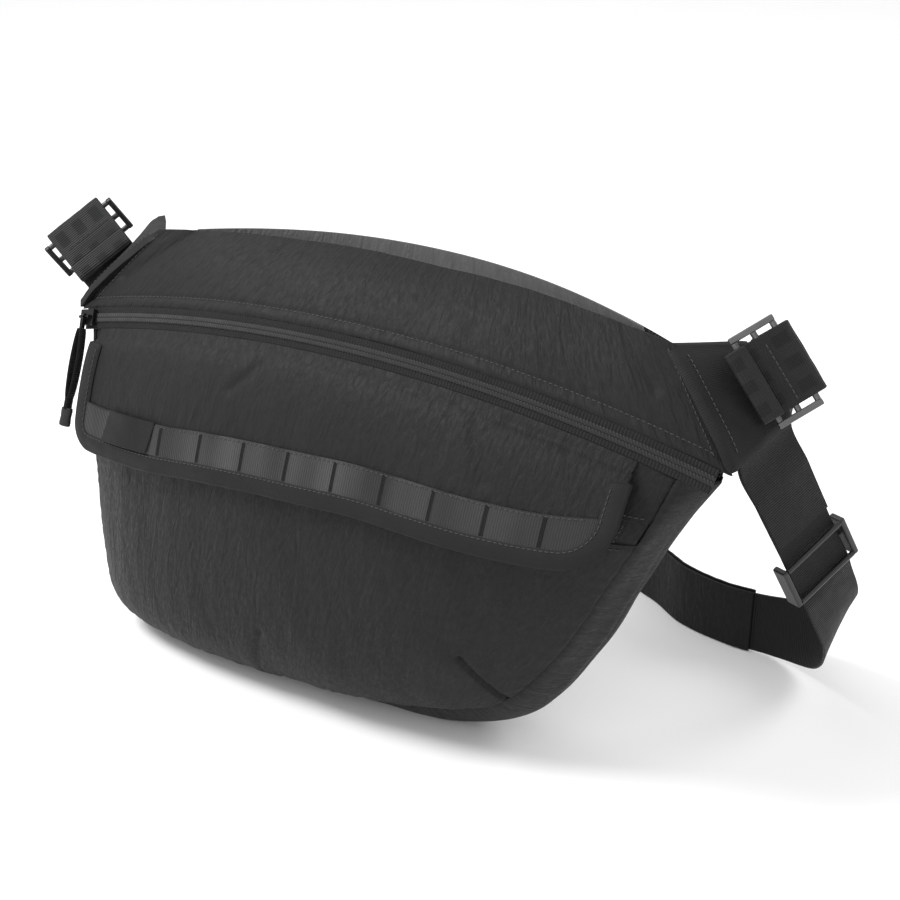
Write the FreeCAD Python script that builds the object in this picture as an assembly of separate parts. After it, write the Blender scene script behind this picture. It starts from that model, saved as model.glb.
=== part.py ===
import FreeCAD, Part

import math
import os
from FreeCAD import Vector

os.makedirs("parts", exist_ok=True)

# Cross-body sling bag. +X is to the right as the front is seen, -Y out of the front panel, +Z up,
# floor at Z = 0. Millimetres.

# ---- driving dimensions -------------------------------------------------------------------
FRONT_Y = -35.0          # plane of the seam between the gusset and the front panel
GAP = 0.4                # clearance left between neighbouring soft pieces
CLOTH = 1.6              # thickness of a lined outer panel
LINING = 0.8
FOAM = 5.0
WEBBING_WIDTH = 38.0
WEBBING = 1.5

ZIP_HALF_SPAN = 213.0    # the main zip is an arc, this far to each side of the middle
ZIP_TOP = Vector(0, -34, 217)
ZIP_RISE = 27.0          # the middle is higher than the ends by this
ZIP_LEAN = 9.0           # and further forward by this

TOP_HALF = 174.0         # upper edge of the yoke
FRONT_BULGE = 31.0       # the front panel swells this far out of its seam plane

FLAP_LEFT = -198.0
FLAP_RIGHT = 175.0
FLAP_STAND_OFF = 6.5
FLAP_FOLD = Vector(0, -48.5, 203)   # on the straight line, along x, that the flap folds along
FOLD_SLOPE = 35.0        # degrees; the cut at the fold is square to the cloth

# the seam between the gusset and the front panel, from the left zip end under the bag and up
# to the right zip end
FRONT_SEAM = [Vector(x, FRONT_Y, z) for x, z in (
    (-205, 187), (-202.5, 145), (-202, 100), (-201, 54), (-194, 21), (-160, 8), (-90, 6),
    (-20, 9), (46, 19), (98, 38), (134, 78), (164, 128), (187, 168), (196, 193))]
# the seam between the gusset and the back panel, point for point
BACK_SEAM = [Vector(*p) for p in (
    (-213, -8, 188), (-206, 6, 150), (-203, 17, 100), (-201, 24, 54), (-192, 25, 22),
    (-160, 25, 9), (-90, 25, 7), (-20, 25, 9), (46, 25, 17), (98, 25, 33), (134, 24, 73),
    (160, 17, 118), (186, 8, 158), (212, -8, 190))]
# how far the gusset swells outwards between its two seams, point for point
GUSSET_SWELL = [2, 3, 4, 5, 7, 9.2, 7.2, 9.7, 18.7, 14, 8, 6, 4, 2]
LOWER_LEFT = 4           # the seam point at the lower left corner
LOWER_RIGHT = 9          # and at the lower right corner
LAST = len(FRONT_SEAM) - 1

# corners of a wing: top and bottom of its seam to the bag, top and bottom of its outer edge
WING = (Vector(174, 2, 253), Vector(222, -19, 206), Vector(201, 31, 250), Vector(229, 28, 220))
WING_THICKNESS = 6.0


# ---- geometry helpers ---------------------------------------------------------------------
def smooth(points, place):
    """A point on the smooth curve through the given points; place counts points from 0."""
    last = len(points) - 1
    index = min(max(int(math.floor(place)), 0), last - 1)
    f = place - index
    b = points[index]
    c = points[index + 1]
    a = points[index - 1] if index > 0 else b * 2 - c
    d = points[index + 2] if index + 2 <= last else c * 2 - b
    linear = (c - a) * f
    square = (a * 2 - b * 5 + c * 4 - d) * (f * f)
    cube = (b * 3 - a - c * 3 + d) * (f * f * f)
    return (b * 2 + linear + square + cube) * 0.5


def mix(a, b, f):
    return a * (1 - f) + b * f


def hump(f, power=1.0):
    """0 at both ends and 1 between them; a power under 1 makes it steeper at 0."""
    g = max(f, 0.0) ** power
    return 4 * g * (1 - g)


def mirrored(point):
    return Vector(-point.x, point.y, point.z)


def square_to(way, along):
    """The part of way that is square to along, as a unit vector."""
    return (way - along * (way.dot(along) / along.dot(along))).normalize()


def normal_at(surface, u, v, step=0.004):
    du = surface(min(u + step, 1), v) - surface(max(u - step, 0), v)
    dv = surface(u, min(v + step, 1)) - surface(u, max(v - step, 0))
    return du.cross(dv).normalize()


def closed_solid(faces):
    shell = Part.makeShell(faces)
    shell.sewShape()
    solid = Part.makeSolid(shell)
    if solid.Volume < 0:
        solid.reverse()
    return solid


def sheet(surface, thickness, u=(0.0, 1.0), v=(0.0, 1.0), cells=(16, 8), lift=0.0):
    """A sheet of the given thickness whose outer side follows surface(u, v), lifted outwards
    by lift. Outwards is the side that du x dv points to; a negative thickness grows that way."""
    outer_rows = []
    inner_rows = []
    for i in range(cells[0] + 1):
        outer = []
        inner = []
        for j in range(cells[1] + 1):
            place = (u[0] + (u[1] - u[0]) * i / cells[0], v[0] + (v[1] - v[0]) * j / cells[1])
            point = surface(*place)
            out = normal_at(surface, *place)
            outer.append(point + out * lift)
            inner.append(point + out * (lift - thickness))
        outer_rows.append(outer)
        inner_rows.append(inner)
    outer_face = Part.BSplineSurface()
    outer_face.interpolate(outer_rows)
    inner_face = Part.BSplineSurface()
    inner_face.interpolate(inner_rows)
    faces = [outer_face.toShape(), inner_face.toShape()]
    for end in (0, 1):
        faces.append(Part.makeRuledSurface(outer_face.uIso(end).toShape(), inner_face.uIso(end).toShape()))
        faces.append(Part.makeRuledSurface(outer_face.vIso(end).toShape(), inner_face.vIso(end).toShape()))
    return closed_solid(faces)


def block(low, high):
    return Part.makeBox(high[0] - low[0], high[1] - low[1], high[2] - low[2], Vector(*low))


def placed(shape, origin, x_axis, y_axis):
    """The shape moved from its own axes to the given ones."""
    x = Vector(x_axis).normalize()
    z = x.cross(y_axis).normalize()
    y = z.cross(x)
    matrix = FreeCAD.Matrix(
        x.x, y.x, z.x, origin.x,
        x.y, y.y, z.y, origin.y,
        x.z, y.z, z.z, origin.z,
        0, 0, 0, 1)
    moved = shape.copy()
    moved.Placement = FreeCAD.Placement(matrix).multiply(shape.Placement)
    return moved


def rod(start, end, radius):
    axis = end - start
    return Part.makeCylinder(radius, axis.Length, start, axis)


def ribbon(path, thickness, width):
    """A strap lying along a path of (x, z) points, its width along Y, centred on Y = 0."""
    sides = ([], [])
    steps = 8 * (len(path) - 1)
    points = [Vector(x, 0, z) for x, z in path]
    for i in range(steps + 1):
        place = i * (len(path) - 1) / steps
        along = smooth(points, min(place + 0.02, len(path) - 1)) - smooth(points, max(place - 0.02, 0))
        across = Vector(-along.z, 0, along.x).normalize() * (thickness / 2)
        sides[0].append(smooth(points, place) + across)
        sides[1].append(smooth(points, place) - across)
    edges = []
    for side in sides:
        curve = Part.BSplineCurve()
        curve.interpolate(side)
        edges.append(curve.toShape())
    edges.append(Part.makeLine(sides[0][0], sides[1][0]))
    edges.append(Part.makeLine(sides[0][-1], sides[1][-1]))
    face = Part.Face(Part.Wire(Part.__sortEdges__(edges)))
    solid = face.extrude(Vector(0, width, 0))
    solid.translate(Vector(0, -width / 2, 0))
    return solid


def write(name, *solids):
    shape = solids[0] if len(solids) == 1 else Part.makeCompound(list(solids))
    good = all(s.isValid() and s.Volume > 0 for s in shape.Solids)
    print(name, len(shape.Solids), "volume", round(shape.Volume), "" if good else "BAD")
    shape.exportStep("parts/" + name + ".step")


# ---- the arc of a zip ---------------------------------------------------------------------
class Arc:
    """A circular arc through three points; a zip and its slider turn about its axis."""

    def __init__(self, left, middle, right):
        chord = right - left
        self.axis = (middle - left).cross(chord).normalize()
        half = (left + right) * 0.5
        a = (middle - left).Length
        b = (right - middle).Length
        c = chord.Length
        area = (middle - left).cross(chord).Length / 2
        self.radius = a * b * c / (4 * area)
        towards = self.axis.cross(chord).normalize()
        if (middle - half).dot(towards) < 0:
            towards = towards * -1
        rise = math.sqrt(self.radius ** 2 - (c / 2) ** 2)
        self.centre = half - towards * rise
        self.up = towards
        self.along = chord.normalize()
        # the axis points to the back of the bag on every zip
        if self.axis.y < 0:
            self.axis = self.axis * -1

    def point(self, angle, radial=0.0, axial=0.0):
        direction = self.along * math.sin(angle) + self.up * math.cos(angle)
        return self.centre + direction * (self.radius + radial) + self.axis * axial

    def angle_at(self, x):
        return math.asin((x - self.centre.x) / self.radius)


LEFT_ZIP_END = Vector(-ZIP_HALF_SPAN, ZIP_TOP.y + ZIP_LEAN, ZIP_TOP.z - ZIP_RISE)
RIGHT_ZIP_END = mirrored(LEFT_ZIP_END)
main_arc = Arc(LEFT_ZIP_END, ZIP_TOP, RIGHT_ZIP_END)
# the front seam's two ends lie on the arc
for end in (0, -1):
    FRONT_SEAM[end] = main_arc.point(main_arc.angle_at(FRONT_SEAM[end].x))
ZIP_SLOPE = math.sqrt(0.5)       # the zip's tapes slope at 45 degrees to the arc's plane
BAND_MIDDLE = 4.75               # from the arc to the middle of the band, both ways


def band_point(arc, middle, angle, across, out):
    """A point of a zip: across is from the middle of the band, out is off its face."""
    radial = middle + ZIP_SLOPE * (across + out)
    axial = middle + ZIP_SLOPE * (across - out)
    return arc.point(angle, radial, axial)


def band_solid(arc, middle, angles, section):
    """A section of (across, out) corners turned about the arc's axis between two angles."""
    corners = [band_point(arc, middle, angles[0], a, o) for a, o in section]
    face = Part.Face(Part.makePolygon(corners + [corners[0]]))
    turned = face.revolve(arc.centre, arc.axis, math.degrees(angles[1] - angles[0]))
    probe = band_point(arc, middle, angles[1], *section[0])
    if min((v.Point - probe).Length for v in turned.Vertexes) > 0.1:
        turned = face.revolve(arc.centre, arc.axis * -1, math.degrees(angles[1] - angles[0]))
    if turned.ShapeType != "Solid":
        turned = turned.Solids[0]
    if turned.Volume < 0:
        turned.reverse()
    return turned


def rectangle(low, high):
    return [(low[0], low[1]), (high[0], low[1]), (high[0], high[1]), (low[0], high[1])]


# ---- outer surfaces -----------------------------------------------------------------------
def front_surface(u, v):
    """The front panel: u from left to right, v from the bottom seam to the zip."""
    bottom = smooth(FRONT_SEAM, LOWER_LEFT + (LOWER_RIGHT - LOWER_LEFT) * u)
    left = smooth(FRONT_SEAM, LOWER_LEFT * (1 - v))
    right = smooth(FRONT_SEAM, LOWER_RIGHT + (LAST - LOWER_RIGHT) * v)
    low_angle = main_arc.angle_at(FRONT_SEAM[0].x)
    high_angle = main_arc.angle_at(FRONT_SEAM[-1].x)
    top = main_arc.point(low_angle + (high_angle - low_angle) * u)
    top_left = main_arc.point(low_angle)
    top_right = main_arc.point(high_angle)
    low_corners = mix(FRONT_SEAM[LOWER_LEFT], FRONT_SEAM[LOWER_RIGHT], u)
    high_corners = mix(top_left, top_right, u)
    point = mix(bottom, top, v) + mix(left, right, u) - mix(low_corners, high_corners, v)
    fullness = hump(v, 0.7) * (1 - abs(2 * u - 1) ** 2.4)
    return point - Vector(0, FRONT_BULGE * fullness, 0)


def gusset_surface(u, v):
    """The gusset: u along the seams from left to right, v from the back seam to the front."""
    place = u * LAST
    front = smooth(FRONT_SEAM, place)
    back = smooth(BACK_SEAM, place)
    ahead = smooth(FRONT_SEAM, min(place + 0.05, LAST))
    behind = smooth(FRONT_SEAM, max(place - 0.05, 0))
    along = (ahead - behind).normalize()
    out = Vector(along.z, 0, -along.x)
    swell = smooth([Vector(s, 0, 0) for s in GUSSET_SWELL], place).x
    return mix(back, front, v) + out * (swell * 4 * v * (1 - v))


def top_edge(x):
    share = abs(x) / TOP_HALF
    return Vector(x, 12 - 10 * share ** 2.5, 265 - 12 * share ** 2)


def yoke_surface(u, v):
    """The yoke above the zip: u from left to right, v from the zip to the upper edge."""
    half_angle = main_arc.angle_at(ZIP_HALF_SPAN + 5)
    bottom = main_arc.point(half_angle * (2 * u - 1), 2 * BAND_MIDDLE, 2 * BAND_MIDDLE)
    top = top_edge(TOP_HALF * (2 * u - 1))
    point = mix(bottom, top, v)
    swell = 5 * hump(v) * (1 - abs(2 * u - 1) ** 3)
    return point + Vector(0, -0.7, 0.7) * swell


def back_surface(u, v):
    """The back panel: u from left to right, v from the bottom to the upper edge."""
    left_side = [BACK_SEAM[i] for i in (4, 3, 2, 1)] + [Vector(-209, 2, 196), Vector(-176, 9, 250)]
    right_side = [BACK_SEAM[i] for i in (9, 10, 11, 12)] + [Vector(209, 2, 198), Vector(176, 9, 250)]
    bottom = smooth(BACK_SEAM, LOWER_LEFT + (LOWER_RIGHT - LOWER_LEFT) * u)
    left = smooth(left_side, 5 * v)
    right = smooth(right_side, 5 * v)
    x = TOP_HALF * (2 * u - 1)
    edge = top_edge(x)
    top = Vector(x, edge.y + 7 + 20 * (1 - (2 * u - 1) ** 2), edge.z - 3)
    corner_rows = mix(mix(left_side[0], right_side[0], u), mix(left_side[-1], right_side[-1], u), v)
    point = mix(bottom, top, v) + mix(left, right, u) - corner_rows
    swell = 9 * hump(v) * (1 - abs(2 * u - 1) ** 3)
    return point + Vector(0, swell, 0)


def back_to_front(u, v):
    """The back panel with its outside towards the wearer, for sheet()."""
    return back_surface(1 - u, v)


FLAP_HEIGHTS = [Vector(0, 0, z) for z in (147, 133, 135, 140, 143.5, 146, 148, 147.5, 148, 151, 172)]
FLAP_FRONTS = [Vector(0, y, 0) for y in (-55, -63, -68, -70.5, -71.5, -72, -72, -72, -71, -67, -60)]


def flap_surface(u, v):
    """The flap: u from left to right, v from its lower edge up to its seam under the zip."""
    x = FLAP_LEFT + (FLAP_RIGHT - FLAP_LEFT) * u
    top = main_arc.point(main_arc.angle_at(x), -3.0, -FLAP_STAND_OFF)
    place = u * (len(FLAP_HEIGHTS) - 1)
    low = Vector(x, smooth(FLAP_FRONTS, place).y, smooth(FLAP_HEIGHTS, place).z)
    down = 1 - v
    return Vector(x, top.y + (low.y - top.y) * down ** 0.7, top.z + (low.z - top.z) * down)


# ---- bag shell ----------------------------------------------------------------------------
POCKET_HEM_LOW = 0.672
POCKET_HEM_HIGH = 0.768


def make_shell():
    gusset = sheet(gusset_surface, 2.0, (0.012, 0.988), (0.035, 0.965), (52, 8))
    below_floor = block((-400, -400, -50), (400, 400, 0))
    write("gusset", gusset.cut(below_floor).Solids[0])
    write("front_panel_lower", sheet(front_surface, CLOTH, (0.008, 0.992), (0.012, POCKET_HEM_LOW), (24, 14)))
    write("front_panel_upper", sheet(front_surface, CLOTH, (0.008, 0.992), (POCKET_HEM_HIGH, 0.988), (24, 6)))
    write("yoke_panel", sheet(yoke_surface, CLOTH, (0.006, 0.994), (0.02, 0.985), (24, 8)))
    write("back_panel", sheet(back_to_front, 2.2, (0.02, 0.98), (0.012, 0.985), (24, 16)))
    write("back_foam", sheet(back_to_front, FOAM, (0.05, 0.95), (0.05, 0.95), (20, 14), -2.2 - GAP))
    lift = -2.2 - FOAM - 2 * GAP
    write("rear_pocket_lining", sheet(back_to_front, LINING, (0.06, 0.94), (0.3, 0.975), (20, 10), lift))


def make_linings():
    def divider(u, v):
        return back_surface(1 - u, v) - Vector(0, 9.8 + 13 * (1 - (2 * u - 1) ** 2), 0)
    write("main_lining", sheet(divider, LINING, (0.1, 0.9), (0.25, 0.94), (16, 10)))

    def pocket_wall(u, v):
        return front_surface(u, v) + Vector(0, 14 + 4 * hump(v), 0)
    write("front_pocket_lining", sheet(pocket_wall, LINING, (0.09, 0.91), (0.1, 0.94), (18, 10)))
    write("front_seam_binding", sheet(gusset_surface, 2.4, (0.03, 0.97), (0.90, 0.955), (52, 2), -2.0 - GAP))
    write("back_seam_binding", sheet(gusset_surface, 2.4, (0.03, 0.97), (0.045, 0.10), (52, 2), -2.0 - GAP))


# ---- wings, tabs, slide buckles -----------------------------------------------------------
def make_wing(side, name):
    top_in, low_in, top_out, low_out = [p if side > 0 else mirrored(p) for p in WING]

    def surface(u, v):
        if side < 0:
            u = 1 - u
        point = mix(mix(low_in, top_in, v), mix(low_out, top_out, v), u)
        return point + Vector(0.5 * side, -0.75, 0.4) * (1.5 * hump(v) * (1 - u))
    # the seam edge stays clear of the yoke and of the back panel
    reach = (0.09, 1.0) if side > 0 else (0.0, 0.91)
    write(name, sheet(surface, WING_THICKNESS, reach, (0.02, 0.98), (8, 8), 0.5))


# A tab's frame: its fold, the way it runs outwards, and the way its width runs
TAB_LENGTH = 36.0
TAB_GAP = 4.5            # the tab's two layers stand this far apart
RIGHT_TAB = (Vector(233.4, 33.3, 251.7), Vector(0.59, 0.65, 0.47), Vector(-0.64, -0.06, 0.77))
LEFT_TAB = (Vector(-255, 10.5, 246), Vector(-0.687, -0.107, 0.72), Vector(-0.26, -0.58, -0.77))
BUCKLE_BAR = 1.7         # radius of a buckle's bars
BUCKLE_LENGTH = 50.0
BUCKLE_SLOT = 11.0       # from one bar's middle to the next
BUCKLE_INSET = 8.0       # from the tab's fold to the buckle's first bar
LEFT_BUCKLE_DROP = math.radians(41)   # the left buckle hangs this far behind its tab


def buckle():
    """A slide buckle with three bars, in its own axes: bars along Y, slots along X."""
    half = BUCKLE_LENGTH / 2 - 2.5
    solids = [rod(Vector(-BUCKLE_SLOT * k, -half, 0), Vector(-BUCKLE_SLOT * k, half, 0), BUCKLE_BAR)
              for k in (0, 1, 2)]
    reach = 2 * BUCKLE_SLOT + BUCKLE_BAR
    side = 3.4
    for low in (-half - side, half):
        frame = block((-reach, low, -BUCKLE_BAR), (BUCKLE_BAR, low + side, BUCKLE_BAR))
        solids.append(frame.makeFillet(0.8, frame.Edges))
    shape = solids[0].multiFuse(solids[1:])
    return shape.removeSplitter().Solids[0]


# how a tab's rear layer runs on to the wing, below the middle of its loop
REAR_LAYERS = {"right": [(-8, -1), (-14, -5), (-19, -9)], "left": [(-8, 0), (-20, 0), (-31, 0)]}


def tab(side_name):
    """A folded tab in its own axes: the fold is at the origin, its layers run along -X."""
    half = TAB_GAP / 2 + WEBBING / 2
    path = [(-TAB_LENGTH, half), (-24, half), (-14, half), (-8, half), (-3, half), (-0.9, half * 0.72),
            (0, 0), (-0.9, -half * 0.72), (-3, -half)]
    path += [(x, z - half) for x, z in REAR_LAYERS[side_name]]
    return ribbon(path, WEBBING, WEBBING_WIDTH)


def hem():
    """The tab's free end is folded over once more and sewn."""
    top = TAB_GAP / 2 + WEBBING + GAP
    return block((-TAB_LENGTH, -WEBBING_WIDTH / 2, top), (-TAB_LENGTH + 9, WEBBING_WIDTH / 2, top + WEBBING))


def make_tab(frame, side_name):
    origin, outward, width = frame
    write("tab_" + side_name, placed(tab(side_name), origin, outward, width))
    write("tab_hem_" + side_name, placed(hem(), origin, outward, width))
    shape = buckle()
    if side_name == "left":
        shape.rotate(Vector(0, 0, 0), Vector(0, 1, 0), -math.degrees(LEFT_BUCKLE_DROP))
    shape.translate(Vector(-BUCKLE_INSET, 0, 0))
    write("buckle_" + side_name, placed(shape, origin, outward, width))
    first_bar = origin - outward.normalize() * BUCKLE_INSET
    print("buckle", side_name, "first bar", first_bar, "bar runs", square_to(width, outward), "out", outward)


# ---- main zip -----------------------------------------------------------------------------
SLIDER_FROM_END = 5.0
PULL_LENGTH = 68.0
PULL_LEAN = 20.0         # degrees out from plumb
TAPE = rectangle((1.1, -0.4), (6.3, 0.4))
COIL = rectangle((0.7, 0.45), (2.9, 1.95))


def lower_half(section):
    return [(-a, o) for a, o in section]


def slider_body():
    """A zip slider in its own axes: X along the zip, Y across it, Z off its face."""
    plates = [
        block((-6, -4.8, 2.5), (6, 4.8, 3.9)),
        block((-6, -4.8, -2.3), (6, 4.8, -1.0)),
        block((2.2, -0.4, -1.0), (5.6, 0.4, 2.5)),
        block((-6, 3.6, 1.0), (6, 4.8, 2.5)),
        block((-6, -4.8, 1.0), (6, -3.6, 2.5)),
        block((-4.4, -0.9, 3.9), (-3.0, 0.9, 6.0)),
        block((3.0, -0.9, 3.9), (4.4, 0.9, 6.0)),
        Part.makeCylinder(0.6, 8.8, Vector(-4.4, 0, 6.0), Vector(1, 0, 0)),
    ]
    return plates[0].multiFuse(plates[1:]).removeSplitter().Solids[0]


def make_main_zip():
    end = main_arc.angle_at(ZIP_HALF_SPAN)
    chain_end = main_arc.angle_at(ZIP_HALF_SPAN - 2)
    write("zip_tape_upper", band_solid(main_arc, BAND_MIDDLE, (-end, end), TAPE))
    write("zip_tape_lower", band_solid(main_arc, BAND_MIDDLE, (-end, end), lower_half(TAPE)))
    write("zip_coil",
          band_solid(main_arc, BAND_MIDDLE, (-chain_end, chain_end), COIL),
          band_solid(main_arc, BAND_MIDDLE, (-chain_end, chain_end), lower_half(COIL)))
    angle = main_arc.angle_at(-ZIP_HALF_SPAN + SLIDER_FROM_END)
    origin = band_point(main_arc, BAND_MIDDLE, angle, 0, 0)
    along = (band_point(main_arc, BAND_MIDDLE, angle + 0.001, 0, 0) - origin).normalize()
    across = (band_point(main_arc, BAND_MIDDLE, angle, 1, 0) - origin).normalize()
    write("zip_slider", placed(slider_body(), origin, along, across))
    pivot = band_point(main_arc, BAND_MIDDLE, angle, 0, 6.0)
    # the pull hangs from the slider's bail, leaning out over the bag's front
    ring = Part.makeCylinder(1.9, 1.8, Vector(-0.9, 0, 0), Vector(1, 0, 0))
    plate = block((-0.9, -1.3, -9.0), (0.9, 1.3, -1.2))
    link = ring.fuse(plate).cut(Part.makeCylinder(1.0, 4, Vector(-2, 0, 0), Vector(1, 0, 0)))
    link = link.cut(rod(Vector(-2, 0, -7.2), Vector(2, 0, -7.2), 0.8)).removeSplitter().Solids[0]
    strands = [rod(Vector(s * 1.8, 0, -9.6), Vector(s * 1.8, 0, -PULL_LENGTH + 12), 1.1) for s in (-1, 1)]
    grip = block((-4.2, -2.2, -PULL_LENGTH), (4.2, 2.2, -PULL_LENGTH + 11.6))
    grip = grip.makeFillet(1.0, grip.Edges)
    for piece in [link, grip] + strands:
        piece.rotate(Vector(0, 0, 0), Vector(1, 0, 0), -PULL_LEAN)
        piece.translate(pivot)
    write("zip_pull_link", link)
    write("zip_pull_cord", *strands)
    write("zip_pull_grip", grip)
    print("main zip axis", main_arc.centre, main_arc.axis, "radius", main_arc.radius)
    print("slider angle", math.degrees(angle), "pull pivot", pivot)


# ---- front pocket zip ---------------------------------------------------------------------
def pocket_zip_point(u):
    return front_surface(u, (POCKET_HEM_LOW + POCKET_HEM_HIGH) / 2) + Vector(0, 5.8, 0)


def make_pocket_zip():
    arc = Arc(pocket_zip_point(0.07), pocket_zip_point(0.5), pocket_zip_point(0.93))

    def angle_of(point):
        spoke = point - arc.centre
        return math.atan2(spoke.dot(arc.along), spoke.dot(arc.up))
    left = angle_of(pocket_zip_point(0.07))
    right = angle_of(pocket_zip_point(0.93))
    # this zip's tapes stand square to the arc's plane: across is axial, out is radial
    sign = 1 if arc.axis.z > 0 else -1

    def section(low, high):
        return [(a * sign, o) for a, o in rectangle(low, high)]

    def ring_solid(corner_list):
        corners = [arc.point(left, o, a) for a, o in corner_list]
        face = Part.Face(Part.makePolygon(corners + [corners[0]]))
        span = math.degrees(right - left)
        turned = face.revolve(arc.centre, arc.axis, span)
        probe = arc.point(right, corner_list[0][1], corner_list[0][0])
        if min((v.Point - probe).Length for v in turned.Vertexes) > 0.1:
            turned = face.revolve(arc.centre, arc.axis * -1, span)
        if turned.Volume < 0:
            turned.reverse()
        return turned
    tapes = [ring_solid(section((s * 1.1, -0.4), (s * 9.0, 0.4))) for s in (-1, 1)]
    coils = [ring_solid(section((s * 0.7, 0.45), (s * 2.9, 1.95))) for s in (-1, 1)]
    write("pocket_zip_tapes", *tapes)
    write("pocket_zip_coil", *coils)
    at = left + (right - left) * 0.035
    origin = arc.point(at)
    along = arc.point(at + 0.001) - origin
    across = arc.axis * sign
    body = slider_body()
    write("pocket_zip_slider", placed(body, origin, along, across))
    print("pocket zip axis", arc.centre, arc.axis, "radius", arc.radius)
    print("angles", math.degrees(left), math.degrees(right), "slider", math.degrees(at))


# ---- flap ---------------------------------------------------------------------------------
BINDING_SHARE = 0.13     # of the flap's height, at its lower edge
STRIP_SHARES = (0.15, 0.42)
LABEL_SHARES = (0.083, 0.19)     # of the flap's length, from its left edge


def beside_fold(low, high):
    """A block on one side of the flap's fold, its face falling towards the bag."""
    side = block((-400, -200, low), (400, 200, high))
    side.rotate(Vector(0, 0, 0), Vector(1, 0, 0), -FOLD_SLOPE)
    side.translate(FLAP_FOLD)
    return side


def make_flap():
    shell = sheet(flap_surface, 1.5, (0.0, 1.0), (0.0, 0.96), (28, 8))
    above = beside_fold(GAP, 300)
    below = beside_fold(-300, -GAP)
    write("flap_shell", shell.common(below).Solids[0])
    # what is above the fold stays on the bag, between the fold and the curved seam
    write("flap_root", shell.common(above).Solids[0])
    lift = 0.8 + GAP
    side_rise = (BINDING_SHARE + 0.01, 0.93)
    sides = [sheet(flap_surface, 0.8, u, side_rise, (2, 6), lift) for u in ((0.0, 0.022), (0.978, 1.0))]
    write("flap_binding",
          sheet(flap_surface, 0.8, (0.0, 1.0), (0.0, BINDING_SHARE), (28, 2), lift),
          *[side.common(below).Solids[0] for side in sides])
    strip_lift = 1.2 + GAP
    write("flap_webbing", sheet(flap_surface, 1.2, (0.12, 0.965), STRIP_SHARES, (24, 2), strip_lift))
    bars = []
    for k in range(9):
        middle = 0.20 + 0.09 * k
        bars.append(sheet(flap_surface, 0.5, (middle - 0.003, middle + 0.003), (0.17, 0.40), (2, 2),
                          strip_lift + 0.5 + 0.1))
    write("flap_bartacks", *bars)
    write("flap_label", sheet(flap_surface, 0.8, LABEL_SHARES, (0.16, 0.41), (4, 2), strip_lift + 0.8 + 0.3))
    stub = sheet(front_surface, 1.2, (0.925, 0.968), (0.66, 0.778), (3, 3), 1.2 + GAP)
    write("pocket_zip_end_tab", stub)


# ---- shoulder strap -----------------------------------------------------------------------
# the strap is straight where the tri-glide sits on it
GLIDE_AT = Vector(218, 99, 106)
GLIDE_WAY = Vector(19, 40, -80).normalize()
STRAP_ROUTE = [Vector(208, 46, 214)] + [GLIDE_AT + GLIDE_WAY * d for d in (-88, -60, -32, -4, 24)] + [
    Vector(*p) for p in (
        (222, 130, 55), (203, 152, 30), (172, 163, 21), (138, 162, 20.4), (101, 170, 20.4),
        (66, 190, 20.4), (0, 214, 20.4), (-70, 218, 20.4), (-140, 200, 21.5), (-196, 162, 40),
        (-230, 116, 95), (-247, 74, 160), (-247, 48, 204))]
STRAP_WAYS = [Vector(*p).normalize() for p in (
    (0.36, 0.61, 0.60), (0.30, 0.60, 0.70), (0.26, 0.58, 0.77), (0.2, 0.56, 0.80), (0.2, 0.56, 0.80),
    (0.2, 0.56, 0.80), (0.2, 0.56, 0.85), (0.1, 0.40, 0.95), (0.02, 0.12, 1), (0, 0, 1), (0, 0, 1),
    (0, 0, 1), (0, 0, 1), (0, 0, 1), (-0.05, 0.2, 1), (-0.15, 0.5, 0.8), (-0.1, 0.75, 0.6),
    (0.1, 0.70, 0.65), (0.26, 0.58, 0.77))]


def strap_surface(u, v):
    place = u * (len(STRAP_ROUTE) - 1)
    run = smooth(STRAP_ROUTE, min(place + 0.1, len(STRAP_ROUTE) - 1)) - smooth(STRAP_ROUTE, max(place - 0.1, 0))
    way = square_to(smooth(STRAP_WAYS, place), run)
    return smooth(STRAP_ROUTE, place) + way * ((v - 0.5) * WEBBING_WIDTH)


RETURN_END = 3.2         # along the route: the sewn end stops short of the tri-glide's travel


def strap_share(index):
    return index / (len(STRAP_ROUTE) - 1)


def tri_glide():
    """A three-bar adjuster in its own axes: X along the strap, Y across it, Z off it."""
    half = 21.0
    bars = [rod(Vector(x, -half, z), Vector(x, half, z), 1.6) for x, z in ((-12, 3.7), (0, -3.7), (12, 3.7))]
    sides = []
    for low in (-half - 3.6, half):
        side = block((-13.6, low, -5.0), (13.6, low + 3.6, 5.0))
        sides.append(side.makeFillet(1.2, side.Edges))
    return bars[0].multiFuse(bars[1:] + sides).removeSplitter().Solids[0]


def make_strap():
    write("shoulder_strap", sheet(strap_surface, WEBBING, (0.008, 0.995), (0, 1), (72, 2), WEBBING / 2))
    # the end that comes back from the right tab, sewn round the tri-glide's middle bar
    write("strap_return", sheet(strap_surface, 1.2, (0.012, strap_share(RETURN_END)), (0, 1), (14, 2), WEBBING / 2 + 0.8 + 1.2))
    sleeve = (strap_share(8.6), strap_share(11.6))
    write("strap_sleeve",
          sheet(strap_surface, 1.4, sleeve, (-0.03, 1.03), (12, 2), WEBBING / 2 + 0.3 + 1.4),
          sheet(strap_surface, 1.4, sleeve, (-0.03, 1.03), (12, 2), -WEBBING / 2 - 0.3))
    across = STRAP_WAYS[4]
    write("tri_glide", placed(tri_glide(), GLIDE_AT, GLIDE_WAY, across))


make_shell()
make_linings()
make_wing(1, "wing_right")
make_wing(-1, "wing_left")
make_tab(RIGHT_TAB, "right")
make_tab(LEFT_TAB, "left")
make_main_zip()
make_pocket_zip()
make_flap()
make_strap()
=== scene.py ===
import bisect
import math

import bpy
from mathutils import Matrix, Vector, noise


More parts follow.
